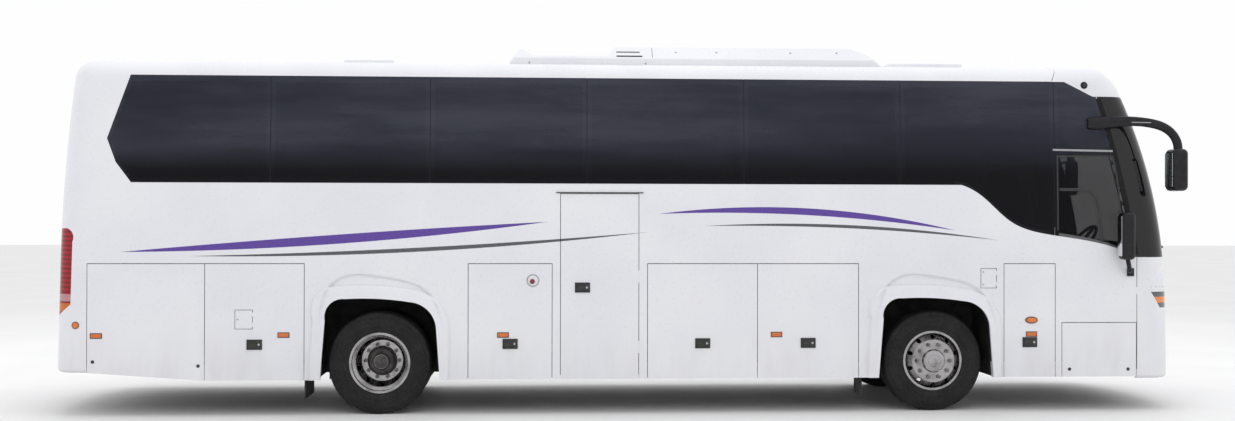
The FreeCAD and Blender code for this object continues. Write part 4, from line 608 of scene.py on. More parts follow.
PAINT = Finish(
    "white_body_paint", slot="body_paint", Coat_Weight=0.6, Coat_Roughness=0.04, Coat_IOR=1.5)
x, y, z = (PAINT.axis(letter) for letter in "XYZ")
drift = PAINT.noise(0.9, 3.0).ramp(0.3, 0.7)
white = PAINT.blend(drift, (0.690, 0.695, 0.735), (0.735, 0.738, 0.770))
streaks = PAINT.noise(3.5, 6.0, 0.6, (1.0, 1.0, 0.25)).ramp(0.35, 0.75)
dust = z.ramp(0.30, 1.05, 1.0, 0.0) * streaks * 0.30
marked = PAINT.blend(dust, white, (0.46, 0.44, 0.42))
striped = (y.size() > 1.15) * (z < STRIPES_BELOW)
for shapes, colour in (
        (SLATE_STRIPES, (0.060, 0.062, 0.075)), (VIOLET_STRIPES, (0.070, 0.018, 0.270))):
    mask = sum(stripe(x, z, *shape) for shape in shapes)
    marked = PAINT.blend(mask * striped, marked, colour)
facing = PAINT.node("ShaderNodeNewGeometry", {}, {}, "Normal")
sideways = PAINT.node("ShaderNodeSeparateXYZ", {}, {0: facing}, "Y").size()
above_waist = (z - WAIST).at_least(0.0)
sunk = (SIDE_Y - SKIN_DEPTH) - y.size() - above_waist * above_waist / (2 * SIDE_BOW)
flank = y.size() > 1.20
# Painted shade: gap walls, faces sunk deep below the skin, the frame behind the waist and front lid
# seams, and the flush hinge leaves in those seams are all coloured near-black.
edges = (sideways < 0.4) * (sunk > 0.0) * z.between(0.50, STRIPES_BELOW) * x.between(-5.262, 5.16)
recess = (sunk > 0.030) * z.between(0.60, STRIPES_BELOW) * x.between(-5.10, 4.90)
top_seams = z.near(WAIST, SEAM_REACH) + z.near(FRONT_LID_TOP, SEAM_REACH) * (x > 4.30)
behind_seams = (sunk > 0.006) * top_seams * x.between(-5.10, 5.12)
hinge_leaves = sum(x.between(*span) for span in WAIST_SEAMS) * z.near(WAIST, SEAM_HALF)
hinge_leaves = hinge_leaves + x.between(*FRONT_LID_SEAM) * z.near(FRONT_LID_TOP, SEAM_HALF)
shadowed = edges.at_least(recess).at_least(behind_seams).at_least(hinge_leaves) * flank
PAINT.feed("Base Color", PAINT.blend(shadowed, marked, (0.020, 0.020, 0.022)))
PAINT.feed("Roughness", PAINT.noise(30.0).ramp(0.3, 0.7, 0.26, 0.36) + dust * 0.8)
peel = PAINT.noise(220.0, 2.0) + PAINT.noise(1.6, 2.0) * 6.0
PAINT.bump(peel * ORANGE_PEEL, 1.0, 1.0)
dress(PAINT, "side_wall_right", "side_wall_left", "front_cap", "front_mask", "front_bumper")
dress(PAINT, "rear_panel", "rear_bumper", "roof", "ac_unit", "mid_door", "entrance_door")
dress(PAINT, "fuel_flap", "water_flap", "engine_door", *(name for name in nodes if "_lid_" in name))


# The windows are flush panes of dark blue-grey toughened glass, bonded to the body with sealant.
# A black band printed on the glass hides the sealant round every edge.

JOINTS = (-3.512, -1.959, -0.411, 1.158, 2.743, 4.322)
BAND_HALF = 0.045
BAND_TOP, BAND_FOOT, FOOT_END = 3.27, 2.33, 3.3
DRIVER_PANE_REAR, DRIVER_PANE_TOP = 4.36, 2.57
SCREEN_TOP, SCREEN_FOOT, SCREEN_HALF = 3.06, 1.66, 1.13

GLASS = Finish("tinted_glass", slot="tinted_glass", Specular_IOR_Level=0.12)
x, y, z = (GLASS.axis(letter) for letter in "XYZ")
tint = GLASS.noise(1.1, 5.0, 0.6, (0.22, 0.22, 1.5)).ramp(0.35, 0.68)
clouded = GLASS.blend(tint, (0.018, 0.020, 0.030), (0.046, 0.049, 0.068))
GLASS.feed("Base Color", GLASS.blend(z.ramp(2.35, 2.75), (0.003, 0.003, 0.005), clouded))
GLASS.grain(5.0, 0.015, 0.05, 0.3, 0.8)
band = sum(x.near(joint, BAND_HALF) for joint in JOINTS)
band = band + (z > BAND_TOP) + (z < BAND_FOOT) * (x < FOOT_END)
clear = (x > DRIVER_PANE_REAR) * (z < DRIVER_PANE_TOP) * (y < 0.0)
GLASS.feed("Alpha", (band.ramp(0.4, 0.6) * 0.10 + 0.90) - clear * 0.30)
GLASS.bump(GLASS.noise(0.8, 1.0), 0.03, 0.01)
dress(GLASS, "side_glass_right", "side_glass_left", "rear_window", "entrance_door_glass")
SCREEN = Finish("windscreen_glass", Specular_IOR_Level=0.45)
clear = SCREEN.noise(1.0).ramp(0.3, 0.7)
clear = SCREEN.blend(clear, (0.060, 0.080, 0.078), (0.080, 0.100, 0.098))
SCREEN.grain(6.0, 0.02, 0.05, 0.3, 0.8)
y, z = SCREEN.axis("Y"), SCREEN.axis("Z")
printed = (z > SCREEN_TOP) + (z < SCREEN_FOOT) + (y.size() > SCREEN_HALF)
SCREEN.feed("Alpha", printed.ramp(0.4, 0.6, 0.42, 1.0))
SCREEN.feed("Base Color", SCREEN.blend(printed.ramp(0.4, 0.6), clear, (0.005, 0.005, 0.006)))
dress(SCREEN, "windscreen")
SEALANT = worn(
    "black_sealant", (0.006, 0.006, 0.007), (0.012, 0.012, 0.012), (0.5, 0.7), 20.0, 0.2,
    slot="black_plastic", Specular_IOR_Level=0.2)
dress(SEALANT, "screen_frame")


# Each lid has a black moulded paddle latch in a square frame, let into the panel below its middle.
# The paddle is a lever under a raised brow, with a small round lock beside it.

BLACK_PLASTIC = worn(
    "black_plastic", (0.014, 0.014, 0.015), (0.028, 0.028, 0.028), (0.35, 0.55), 30.0,
    0.25, 0.0005, slot="black_plastic")
LOCK_METAL = worn(
    "lock_metal", (0.50, 0.50, 0.50), (0.35, 0.35, 0.34), (0.25, 0.4), 60.0,
    slot="rim_steel", Metallic=1.0)
LATCH_HEIGHT = 0.695
LATCH_WIDE, LATCH_TALL = 0.150, 0.100
LATCH_RIM = 0.012
LATCH_SOFT = 0.003
PLATE_INSET = 0.004
FRAME_DEPTHS = (0.0005, 0.011)
LEVER_DEPTHS = (0.006, 0.018)
LEVER_START, LEVER_END = 0.016, 0.052
LEVER_SPAN, BROW_SPAN = (-0.024, 0.026), (0.018, 0.030)
LOCK_IN = 0.032
LID_SPANS = (
    ("engine_side_lid_right", -4.139, -3.179), ("engine_side_lid_left", -4.139, -3.179),
    ("bay_lid_right_1", -1.581, -0.754), ("bay_lid_right_2", 0.193, 1.293),
    ("bay_lid_right_3", 1.293, 2.313), ("locker_lid_right", 3.797, 4.324),
    ("bay_lid_left_1", -1.581, -0.283), ("bay_lid_left_2", -0.283, 1.015),
    ("bay_lid_left_3", 1.015, 2.313))
ALONG, UP = Vector((1.0, 0.0, 0.0)), Vector((0.0, 0.0, 1.0))
BUTTON = ((1.0, 0.0), (1.0, 0.6), (0.85, 1.0), (0.3, 1.1))
PILLOW = ((1.0, 0.0), (0.98, 0.55), (0.85, 0.9), (0.45, 1.0))


def made(name, work, finish, body="coach_body"):
    """Closes a bmesh into a piece that rides on a body."""
    return fixed(finished(name, meshed(name, work)), finish, body)


def skinned(work, loops):
    """Joins loops of vertices into one closed form, capped at both ends."""
    count = len(loops[0])
    for a, b in zip(loops, loops[1:]):
        for k in range(count):
            work.faces.new((a[k], a[(k + 1) % count], b[(k + 1) % count], b[k]))
    work.faces.new(loops[-1])
    work.faces.new(list(reversed(loops[0])))


def turned(work, centre, outward, half, proud, profile, sides, across=ALONG, up=UP):
    """Adds a low round form to a bmesh; the profile gives shares of its half sizes and height."""
    loops = []
    for scale, rise in profile:
        loop = []
        for k in range(sides):
            angle = 2 * math.pi * k / sides
            spoke = across * (half[0] * math.cos(angle)) + up * (half[1] * math.sin(angle))
            loop.append(work.verts.new(centre + spoke * scale + outward * (rise * proud)))
        loops.append(loop)
    skinned(work, loops)


def fitting(name, body, place, half, seat, proud, finish, outward=-1, profile=PILLOW, sides=28):
    """A round or oval piece standing on the flat of a side at (x, z)."""
    work = bmesh.new()
    centre = Vector((place[0], outward * (SIDE_Y + seat), place[1]))
    turned(work, centre, Vector((0.0, outward, 0.0)), half, proud, profile, sides)
    return made(name, work, finish, body)


def latch(name, body, x, z, outward):
    """The frame, the lever and the lock of one latch."""
    y0, y1 = sorted(outward * (SIDE_Y + depth) for depth in FRAME_DEPTHS)
    a, b = sorted(outward * (SIDE_Y + depth) for depth in LEVER_DEPTHS)
    left, right = x - LATCH_WIDE / 2, x + LATCH_WIDE / 2
    foot, top = z - LATCH_TALL / 2, z + LATCH_TALL / 2
    start, end = left + LEVER_START, right - LEVER_END
    work = bmesh.new()
    for low, high in (
            ((left + PLATE_INSET, y0, foot + PLATE_INSET),
             (right - PLATE_INSET, (y0 + y1) / 2, top - PLATE_INSET)),
            ((left, y0, foot), (right, y1, foot + LATCH_RIM)),
            ((left, y0, top - LATCH_RIM), (right, y1, top)),
            ((left, y0, foot), (left + LATCH_RIM, y1, top)),
            ((right - LATCH_RIM, y0, foot), (right, y1, top)),
            ((start, a, z + LEVER_SPAN[0]), (end, b, z + LEVER_SPAN[1])),
            ((start, a, z + BROW_SPAN[0]), (end, b + outward * 0.001, z + BROW_SPAN[1]))):
        rounded_block(work, low, high, LATCH_SOFT)
    made(name, work, BLACK_PLASTIC, body)
    fitting(f"{name}_lock", body, (right - LOCK_IN, z), (0.012, 0.012), 0.008, 0.005, LOCK_METAL,
            outward, BUTTON, 20)


for lid, start, end in LID_SPANS:
    outward = 1 if "left" in lid else -1
    latch(f"latch_{lid}", lid, (start + end) / 2, LATCH_HEIGHT, outward)
latch("latch_mid_door", "mid_door", -0.454, 1.250, -1)


# The side panels are pressed round each wheel: a soft step in, then a slope out to the opening.
# The press is deepest over the wheel and fades out towards the skirt.

ARCH_OUTLINE = (
    (-0.690, 0.395), (-0.620, 0.980), (-0.545, 1.255), (-0.290, 1.412), (0.060, 1.382),
    (0.390, 1.306), (0.545, 1.178), (0.640, 0.950), (0.690, 0.395))
ARCH_OPENING = (
    (-0.590, 0.395), (-0.528, 0.930), (-0.495, 1.072), (-0.335, 1.140), (0.020, 1.140),
    (0.300, 1.109), (0.490, 1.012), (0.556, 0.850), (0.608, 0.395))
PRESS_DEPTH = 0.026
PRESS_STEP = 0.024
PRESS_ROUNDING = 0.14
PRESS_FADE = (0.56, 1.42)
PRESS_SLOPE = 1.6
PRESS_SKIN = 1.240
PRESS_REACH = 0.70
PRESS_FOOT = 0.60
PRESS_GRID = 0.0140
PRESS_COLUMNS, PRESS_ROWS = 101, 60
BETWEEN_AXLES = 0.3


def eased(value, low, high):
    """A smooth climb from 0 to 1 as the value goes from low to high."""
    share = min(max((value - low) / (high - low), 0.0), 1.0)
    return share * share * (3.0 - 2.0 * share)


def distance_inside(outline, x, z, rounding):
    """How far a point lies inside a convex outline with rounded corners; negative outside."""
    result = None
    for (x0, z0), (x1, z1) in zip(outline, outline[1:]):
        length = math.hypot(x1 - x0, z1 - z0)
        within = ((x - x0) * (z1 - z0) - (z - z0) * (x1 - x0)) / length
        if result is None:
            result = within
        else:
            overlap = max(rounding - abs(result - within), 0.0) / rounding
            result = min(result, within) - overlap ** 3 * rounding / 6.0
    return result


def press_depth(x, z):
    """How far the panel is pressed in beside an axle at x = 0."""
    inside = distance_inside(ARCH_OUTLINE, x, z, PRESS_ROUNDING)
    if inside <= 0.0:
        return 0.0
    to_opening = max(-distance_inside(ARCH_OPENING, x, z, PRESS_ROUNDING / 4), 0.0)
    past_step = max(inside - PRESS_STEP, 0.0)
    climb = past_step / (past_step + to_opening + 0.0001)
    share = eased(inside, 0.0, PRESS_STEP) * (1.0 - climb) ** PRESS_SLOPE
    return PRESS_DEPTH * share * eased(z, *PRESS_FADE)


for side, outward in SIDES:
    work = bmesh.new()
    work.from_mesh(nodes[f"side_wall_{side}"].data)
    bmesh.ops.remove_doubles(work, verts=work.verts, dist=1e-5)
    for axle_x in (REAR_AXLE, FRONT_AXLE):
        near = set()
        for face in work.faces:
            outside = face.calc_center_bounds().y * outward > PRESS_SKIN
            if outside and face.normal.y * outward > 0.5:
                spread = [vert.co.x - axle_x for vert in face.verts]
                if min(spread) < PRESS_REACH and max(spread) > -PRESS_REACH:
                    near.update((face, *face.edges, *face.verts))
        start = axle_x - PRESS_REACH
        cuts = [((start + k * PRESS_GRID, 0.0, 0.0), ALONG) for k in range(PRESS_COLUMNS)]
        cuts += [((0.0, 0.0, PRESS_FOOT + k * PRESS_GRID), UP) for k in range(PRESS_ROWS)]
        geometry = list(near)
        for place, normal in cuts:
            halves = bmesh.ops.bisect_plane(
                work, geom=geometry, dist=1e-5, plane_co=place, plane_no=normal)
            geometry = list(set(halves["geom"]) | set(halves["geom_cut"]))
    for vert in work.verts:
        if vert.co.y * outward > PRESS_SKIN:
            axle_x = REAR_AXLE if vert.co.x < BETWEEN_AXLES else FRONT_AXLE
            vert.co.y -= outward * press_depth(vert.co.x - axle_x, vert.co.z)
    piece = made(f"side_wall_{side}_pressed", work, PAINT)
    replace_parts(piece, f"side_wall_{side}")


# Orange side reflectors are moulded acrylic on a thin base, glued to lids along both sides.
# Behind the front wheel an oval marker lamp sits in a black gasket.

AMBER = Finish("amber_lens", slot="lamp_red", Coat_Weight=0.6, Coat_Roughness=0.03)
prisms = AMBER.cells(260.0, 0.1)
AMBER.feed("Base Color", AMBER.blend(prisms.ramp(0.1, 0.6), (0.85, 0.24, 0.02), (0.55, 0.11, 0.01)))
AMBER.grain(80.0, 0.12, 0.25)
AMBER.bump(prisms, 0.3, 0.0006)
REFLECTORS = (
    ("rear", "rear_lid_{}", -5.176, 0.784), ("behind_wheel", "engine_side_lid_{}", -3.378, 0.788),
    ("bay_1", "bay_lid_{}_1", -1.238, 0.782), ("bay_3", "bay_lid_{}_3", 1.484, 0.779),
    ("front", "locker_lid_{}", 4.079, 0.776))
REFLECTOR_PARTS = (
    ("reflector", 0.050, 0.020, 0.007, 0.006, AMBER),
    ("reflector_base", 0.058, 0.027, 0.004, 0.003, BLACK_PLASTIC))
for side, outward in SIDES:
    for label, lid, x, z in REFLECTORS:
        body = lid.format(side)
        if body not in nodes:
            continue
        for part, half_x, half_z, proud, soft, finish in REFLECTOR_PARTS:
            work = bmesh.new()
            a, b = sorted((outward * SIDE_Y, outward * (SIDE_Y + proud)))
            rounded_block(work, (x - half_x, a, z - half_z), (x + half_x, b, z + half_z), soft)
            made(f"{part}_{label}_{side}", work, finish, body)

MARKER = (4.079, 0.917)
fitting("marker_gasket", "locker_lid_right", MARKER, (0.066, 0.036), 0.0, 0.006, BLACK_PLASTIC)
fitting("marker_lens", "locker_lid_right", MARKER, (0.056, 0.027), 0.004, 0.013, AMBER)


# Small fittings of the side: the round filler recess with its red cap, and the round key locks
# of the corner lids. They are plated steel and moulded plastic, pressed into drilled holes.

RED = Finish("red_lens", slot="lamp_red", Coat_Weight=0.7, Coat_Roughness=0.02)
facets = RED.cells(180.0, 0.05)
RED.feed("Base Color", RED.blend(facets.ramp(0.1, 0.6), (0.30, 0.006, 0.012), (0.17, 0.003, 0.008)))
RED.grain(60.0, 0.08, 0.18)
RED.bump(facets, 0.25, 0.0006)
FILLER_LID = "bay_lid_right_1"
FILLER = (-0.944, 1.319)
fitting("filler_ring", FILLER_LID, FILLER, (0.064, 0.064), 0.0, 0.004, LOCK_METAL, sides=36)
fitting("filler_cup", FILLER_LID, FILLER, (0.050, 0.050), 0.003, 0.003, PAINT, sides=36)
fitting("filler_cap", FILLER_LID, (-0.950, 1.310), (0.026, 0.026), 0.005, 0.012, RED)
LOCKS = (
    ("rear_lid_right", -5.208, 0.532, -1), ("rear_lid_right", -4.200, 0.489, -1),
    ("front_lid_right", 4.471, 0.421, -1), ("front_lid_right", 5.076, 0.419, -1),
    ("rear_lid_left", -5.208, 0.532, 1), ("rear_lid_left", -4.200, 0.489, 1),
    ("fuel_flap", -3.822, 0.941, -1), ("water_flap", 3.585, 1.402, -1),
    ("water_flap", 3.585, 1.276, -1))
for number, (body, x, z, outward) in enumerate(LOCKS):
    radius, finish = (0.017, BLACK_PLASTIC) if "lid" in body else (0.008, LOCK_METAL)
    fitting(f"key_lock_{number}", body, (x, z), (radius, radius), -0.0005, 0.004, finish,
            outward, BUTTON, 20)


# The headlamps are slim clear lenses over chromed bowls, with an amber turn signal at the outside.
# They are moulded acrylic, bonded to housings that are screwed in between bumper and mask.

LENS = Finish("clear_lens", Coat_Weight=0.5, Coat_Roughness=0.01, Specular_IOR_Level=0.6)
LENS.grain(30.0, 0.03, 0.08)
x, y, z = (LENS.axis(letter) for letter in "XYZ")
turn_signal = (x > 5.24) * (y.size() > 1.10) * z.between(1.09, 1.15)
bowl = LENS.noise(16.0, 2.0).ramp(0.3, 0.7)
bowl = LENS.blend(bowl, (0.030, 0.032, 0.036), (0.110, 0.115, 0.125))
LENS.feed("Base Color", LENS.blend(turn_signal, bowl, (0.75, 0.22, 0.03)))
dress(LENS, "headlamps")


# The tail lamps are tall wrapped mouldings: dark red with a clear and an amber cell at the foot.
# A round marker sits below each on the corner, and a round camera looks out high at either side.
# All are acrylic, screwed on over a black foam gasket.

TAIL = Finish("tail_lens", Coat_Weight=0.25, Coat_Roughness=0.05, Specular_IOR_Level=0.3)
ribs = TAIL.node(
    "ShaderNodeTexWave", {"bands_direction": "Z"}, {"Vector": TAIL.coordinates, "Scale": 7.0})
z = TAIL.axis("Z")
lit = TAIL.blend(ribs, (0.16, 0.003, 0.008), (0.36, 0.006, 0.014))
lit = TAIL.blend(z.between(1.02, 1.10) * 0.8, lit, (0.60, 0.16, 0.02))
lit = TAIL.blend(z.between(1.12, 1.19) * 0.55, lit, (0.60, 0.40, 0.42))
TAIL.feed("Base Color", lit)
TAIL.grain(60.0, 0.06, 0.16)
TAIL.bump(ribs, 0.25, 0.002)
dress(TAIL, "tail_lamps")
DOME_FOOT = 0.006


def hit(node, origin, direction):
    """Where a ray first meets a CAD node, and that surface's outward direction."""
    found, place, normal, _ = nodes[node].ray_cast(Vector(origin), Vector(direction))
    if not found:
        raise ValueError(f"the ray from {origin} misses {node}")
    return place, normal if normal.dot(Vector(direction)) < 0 else -normal


def inward(x, z, outward):
    """A level ray that comes in from one side: its origin and direction."""
    return (x, outward * 3.0, z), (0.0, -outward, 0.0)


def dome(name, place, normal, radius, proud, finish, seat=0.0, sides=28):
    """A round fitting standing on a curved surface, its foot sunk a little below the skin."""
    across = normal.cross(UP).normalized()
    up = across.cross(normal).normalized()
    profile = ((1.0, -DOME_FOOT / proud), (1.0, 0.3), (0.92, 0.75), (0.6, 0.95), (0.2, 1.0))
    work = bmesh.new()
    turned(
        work, place + normal * seat, normal, (radius, radius), proud, profile, sides, across, up)
    return made(name, work, finish)


for side, outward in SIDES:
    spot = hit("rear_panel", *inward(-5.372, 0.888, outward))
    dome(f"corner_marker_gasket_{side}", *spot, 0.036, 0.004, BLACK_PLASTIC)
    dome(f"corner_marker_{side}", *spot, 0.030, 0.014, AMBER)
    spot = hit("front_cap", *inward(4.643, 3.296, outward))
    dome(f"side_camera_ring_{side}", *spot, 0.036, 0.010, SEALANT)
    dome(f"side_camera_{side}", *spot, 0.022, 0.012, GLASS, 0.006)


# The side glass is bonded with black polyurethane, which also fills the joints between the panes.
# Black aluminium channel frames the driver's sliding pane and the smaller opening part in it.

PANE_FOOT, FRONT_PANE_FOOT, PANE_TOP = 2.284, 1.856, 3.326


def side_face(z):
    """How far the outer side lies from the middle of the coach at a height."""
    rise = max(z - WAIST, 0.0)
    return SIDE_Y - SIDE_BOW + math.sqrt(SIDE_BOW * SIDE_BOW - rise * rise)


def walked(places):
    """Each place of a line with the direction from the one before it to the one after it."""
    last = len(places) - 1
    for index, place in enumerate(places):
        step = places[min(index + 1, last)] - places[max(index - 1, 0)]
        yield place, step.normalized()


def side_strip(name, points, width, base, proud, finish, outward=-1):
    """A moulding laid on the side along (x, z) points, from depth base to depth proud."""
    edge = ((-1.0, base), (-1.0, proud * 0.6), (-0.75, proud))
    section = (*edge, *((-share, depth) for share, depth in reversed(edge)))
    work = bmesh.new()
    loops = []
    for place, along in walked([Vector(point) for point in points]):
        across = Vector((-along.y, along.x)) * width / 2
        loop = []
        for share, depth in section:
            spot = place + across * share
            loop.append(work.verts.new((spot.x, outward * (side_face(spot.y) + depth), spot.y)))
        loops.append(loop)
    skinned(work, loops)
    return made(name, work, finish)


def stepped(a, b, count):
    """Points from a to b in even steps, both ends included."""
    return [
        (a[0] + (b[0] - a[0]) * k / count, a[1] + (b[1] - a[1]) * k / count)
        for k in range(count + 1)]


def swept(centre, radius, start, end, count=8):
    """Points on an arc, in degrees."""
    turns = [math.radians(start + (end - start) * k / count) for k in range(count + 1)]
    return [
        (centre[0] + radius * math.cos(turn), centre[1] + radius * math.sin(turn))
        for turn in turns]


for side, outward in SIDES:
    for number, x in enumerate(JOINTS):
        foot = PANE_FOOT if x < FOOT_END else FRONT_PANE_FOOT
        joint = stepped((x, foot), (x, PANE_TOP), 8)
        side_strip(
            f"pane_joint_{number}_{side}", joint, 0.0062, -0.012, -0.0012, SEALANT, outward)
rear_edge = stepped((4.353, 1.822), (4.353, 2.572), 10)
upper_edge = stepped((4.345, 2.572), (4.930, 2.575), 6)
front_edge = [
    (4.922, 2.575), (4.948, 2.470), (4.972, 2.330), (4.988, 2.190), (4.998, 2.0), (5.004, 1.84),
    (5.000, 1.668)]
slider = stepped((4.372, 2.236), (4.600, 2.236), 5)[:-1]
slider += swept((4.600, 2.066), 0.170, 90.0, 8.0) + stepped((4.776, 2.040), (4.806, 1.712), 5)
rail = stepped((4.306, 2.637), (4.926, 2.628), 6)
drip_rail = stepped((-0.716, 2.190), (0.150, 2.190), 6)
for name, points, width, base, proud, finish in (
        ("driver_window_left_edge", rear_edge, 0.016, -0.002, 0.003, BLACK_PLASTIC),
        ("driver_window_top", upper_edge, 0.018, -0.002, 0.004, BLACK_PLASTIC),
        ("driver_window_front_edge", front_edge, 0.018, -0.002, 0.003, BLACK_PLASTIC),
        ("driver_window_slider", slider, 0.030, -0.002, 0.006, BLACK_PLASTIC),
        ("driver_window_rail", rail, 0.020, -0.002, 0.006, RACK_TRIM),
        ("centre_door_drip_rail", drip_rail, 0.010, -0.003, 0.013, BLACK_PLASTIC)):
    side_strip(name, points, width, base, proud, finish)


# The mirrors are black moulded housings on cast arms, with silvered glass facing back.
# The wipers are pressed steel arms painted black, with rubber blades that lie on the screen.

MIRROR_BLACK = worn(
    "mirror_black", (0.006, 0.006, 0.008), (0.012, 0.012, 0.014), (0.28, 0.42), 16.0,
    0.2, 0.0006, Specular_IOR_Level=0.3)
dress(MIRROR_BLACK, "mirrors", "wipers")
SILVER = Finish("mirror_glass", slot="rim_steel", Metallic=1.0)
SILVER.mottle(4.0, (0.80, 0.82, 0.84), (0.72, 0.74, 0.77))
SILVER.grain(12.0, 0.02, 0.06)
MIRROR_GLASSES = (
    ("upper_right", (5.4165, -1.542, 2.262), (5.4215, -1.370, 2.598)),
    ("upper_left", (5.4165, 1.370, 2.262), (5.4215, 1.542, 2.598)),
    ("lower_right", (4.9345, -1.462, 1.566), (4.9395, -1.358, 1.969)))
DIVIDER_DROP = 0.07
DIVIDER_TALL = 0.006
for label, low, high in MIRROR_GLASSES:
    work = bmesh.new()
    rounded_block(work, low, high, 0.002)
    made(f"mirror_glass_{label}", work, SILVER)
    foot = (low[2] + high[2]) / 2 - DIVIDER_DROP
    work = bmesh.new()
    rounded_block(
        work, (low[0] - 0.001, low[1], foot), (high[0], high[1], foot + DIVIDER_TALL), 0.0015)
    made(f"mirror_divider_{label}", work, BLACK_PLASTIC)


# The roof hatches are white moulded lids on a black rubber seal that lifts them off the roof.
# The seal is the lowest centimetre of each, which follows the crown of the roof.

ROOF_CROWN = 0.0556
SEAL_TOP = 3.557

HATCH = Finish("roof_hatch", Coat_Weight=0.4, Coat_Roughness=0.06)
y, z = HATCH.axis("Y"), HATCH.axis("Z")
seal = (z + y * y * ROOF_CROWN) < SEAL_TOP
white = HATCH.blend(HATCH.noise(2.0).ramp(0.3, 0.7), (0.74, 0.75, 0.79), (0.79, 0.80, 0.83))
HATCH.feed("Base Color", HATCH.blend(seal, white, (0.015, 0.015, 0.016)))
HATCH.grain(30.0, 0.32, 0.45)
HATCH.bump(HATCH.noise(160.0), 0.05, 0.0005)
dress(HATCH, "roof_hatches")


# The roof air conditioner is a glass-fibre cover in two lengths, screwed down over a black gasket,
# with slotted vents on its shoulders and four condenser fans behind round wire guards on top.

DOWN = Vector((0.0, 0.0, -1.0))
ABOVE = 6.0
VENTS = ((-0.099, 0.139, 3.629, 0.016), (-0.099, 0.165, 3.581, 0.022))
SCREWS = (
    (0.512, 3.633), (0.928, 3.636), (1.693, 3.636), (2.175, 3.641), (-0.984, 3.512), (0.196, 3.511))
COVER_JOINT = 0.267
COVER_JOINT_WIDTH = 0.006
COVER_JOINT_SECTION = ((-1.0, -0.006), (-0.8, 0.0008), (0.8, 0.0008), (1.0, -0.006))
FAN_PLACES = ((0.62, -0.36), (0.62, 0.36), (1.42, -0.36), (1.42, 0.36))
WELL = {"segments": 48, "radius1": 0.262, "radius2": 0.252, "depth": 0.014}
WELL_DROP = 0.006
WIRE = 0.0022
RING = {"major_segments": 56, "minor_segments": 6, "minor_radius": WIRE}
SPOKE = {"segments": 6, "radius1": WIRE, "radius2": WIRE, "depth": 0.19}
GUARD_RISE = 0.0025
GUARD_RINGS = (0.06, 0.11, 0.16, 0.21, 0.25)
GUARD_SPOKES = 8
SPOKE_MIDDLE = 0.155

for side, outward in SIDES:
    work = bmesh.new()
    for start, end, z, tall in VENTS:
        place, _ = hit("ac_unit", *inward((start + end) / 2, z, outward))
        a, b = sorted((place.y - outward * 0.004, place.y + outward * 0.0025))
        rounded_block(work, (start, a, z - tall / 2), (end, b, z + tall / 2), 0.002)
    made(f"ac_vents_{side}", work, BLACK_PLASTIC)
    for number, (x, z) in enumerate(SCREWS):
        spot = hit("ac_unit", *inward(x, z, outward))
        dome(f"ac_screw_{number}_{side}", *spot, 0.010, 0.004, LOCK_METAL, sides=14)

work = bmesh.new()
loops = []
for _, y in stepped((COVER_JOINT, -0.930), (COVER_JOINT, 0.930), 60):
    loop = []
    for share, rise in COVER_JOINT_SECTION:
        x = COVER_JOINT - share * COVER_JOINT_WIDTH / 2
        top, _ = hit("ac_unit", (x, y, ABOVE), DOWN)
        loop.append(work.verts.new((x, y, top.z + rise)))
    loops.append(loop)
skinned(work, loops)
made("ac_cover_joint", work, BLACK_PLASTIC)

for number, (x, y) in enumerate(FAN_PLACES):
    top, _ = hit("ac_unit", (x, y, ABOVE), DOWN)
    work = bmesh.new()
    sunk = Matrix.Translation((x, y, top.z - WELL_DROP))
    bmesh.ops.create_cone(work, cap_ends=True, matrix=sunk, **WELL)
    made(f"fan_well_{number}", work, BLACK_PLASTIC)
    work = bmesh.new()
    for radius in GUARD_RINGS:
        bpy.ops.mesh.primitive_torus_add(major_radius=radius, location=(0, 0, 0), **RING)
        ring = bpy.context.object
        work.from_mesh(ring.data)
        bpy.data.objects.remove(ring)
    middle = Matrix.Translation((x, y, top.z + GUARD_RISE))
    bmesh.ops.transform(work, matrix=middle, verts=work.verts)
    laid = Matrix.Translation((SPOKE_MIDDLE, 0.0, 0.0)) @ Matrix.Rotation(math.pi / 2, 4, "Y")
    for spoke in range(GUARD_SPOKES):
        bar = bmesh.ops.create_cone(work, cap_ends=True, **SPOKE)
        turn = Matrix.Rotation(2 * math.pi * spoke / GUARD_SPOKES, 4, "Z")
        bmesh.ops.transform(work, matrix=middle @ turn @ laid, verts=bar["verts"])
    made(f"fan_guard_{number}", work, LOCK_METAL)


# The front has a black intake mesh behind the bumper slots, two round fog lamps, and three beam
# lenses in each headlamp. The engine door has two banks of pressed louvres, painted black, above
# its handle, and a red brake lamp is screwed on over the rear window.

LAMP_GLASS = Finish(
    "lamp_glass", slot="lamp_clear", Coat_Weight=0.5, Coat_Roughness=0.01, Specular_IOR_Level=0.6)
LAMP_GLASS.mottle(40.0, (0.55, 0.57, 0.60), (0.34, 0.36, 0.39))
LAMP_GLASS.grain(30.0, 0.03, 0.08)
FRONT, BACK = 1, -1
RIBBON_SOFT = 0.004
FOG_PLACE = (0.86, 0.560)
BEAM_PLACES, BEAM_HEIGHT = (0.72, 0.84, 0.96), 1.132
LENS_SEAT = 0.002
BANK_MIDDLE, BANK_HALF = 0.42, 0.30
LOUVRE_ROWS, LOUVRE_FOOT, LOUVRE_PITCH, LOUVRE_TALL = 9, 1.10, 0.042, 0.020


def on_end(node, y, z, end):
    """Place and outward normal on the bowed front or back."""
    return hit(node, (end * 7.0, y, z), (-end, 0.0, 0.0))


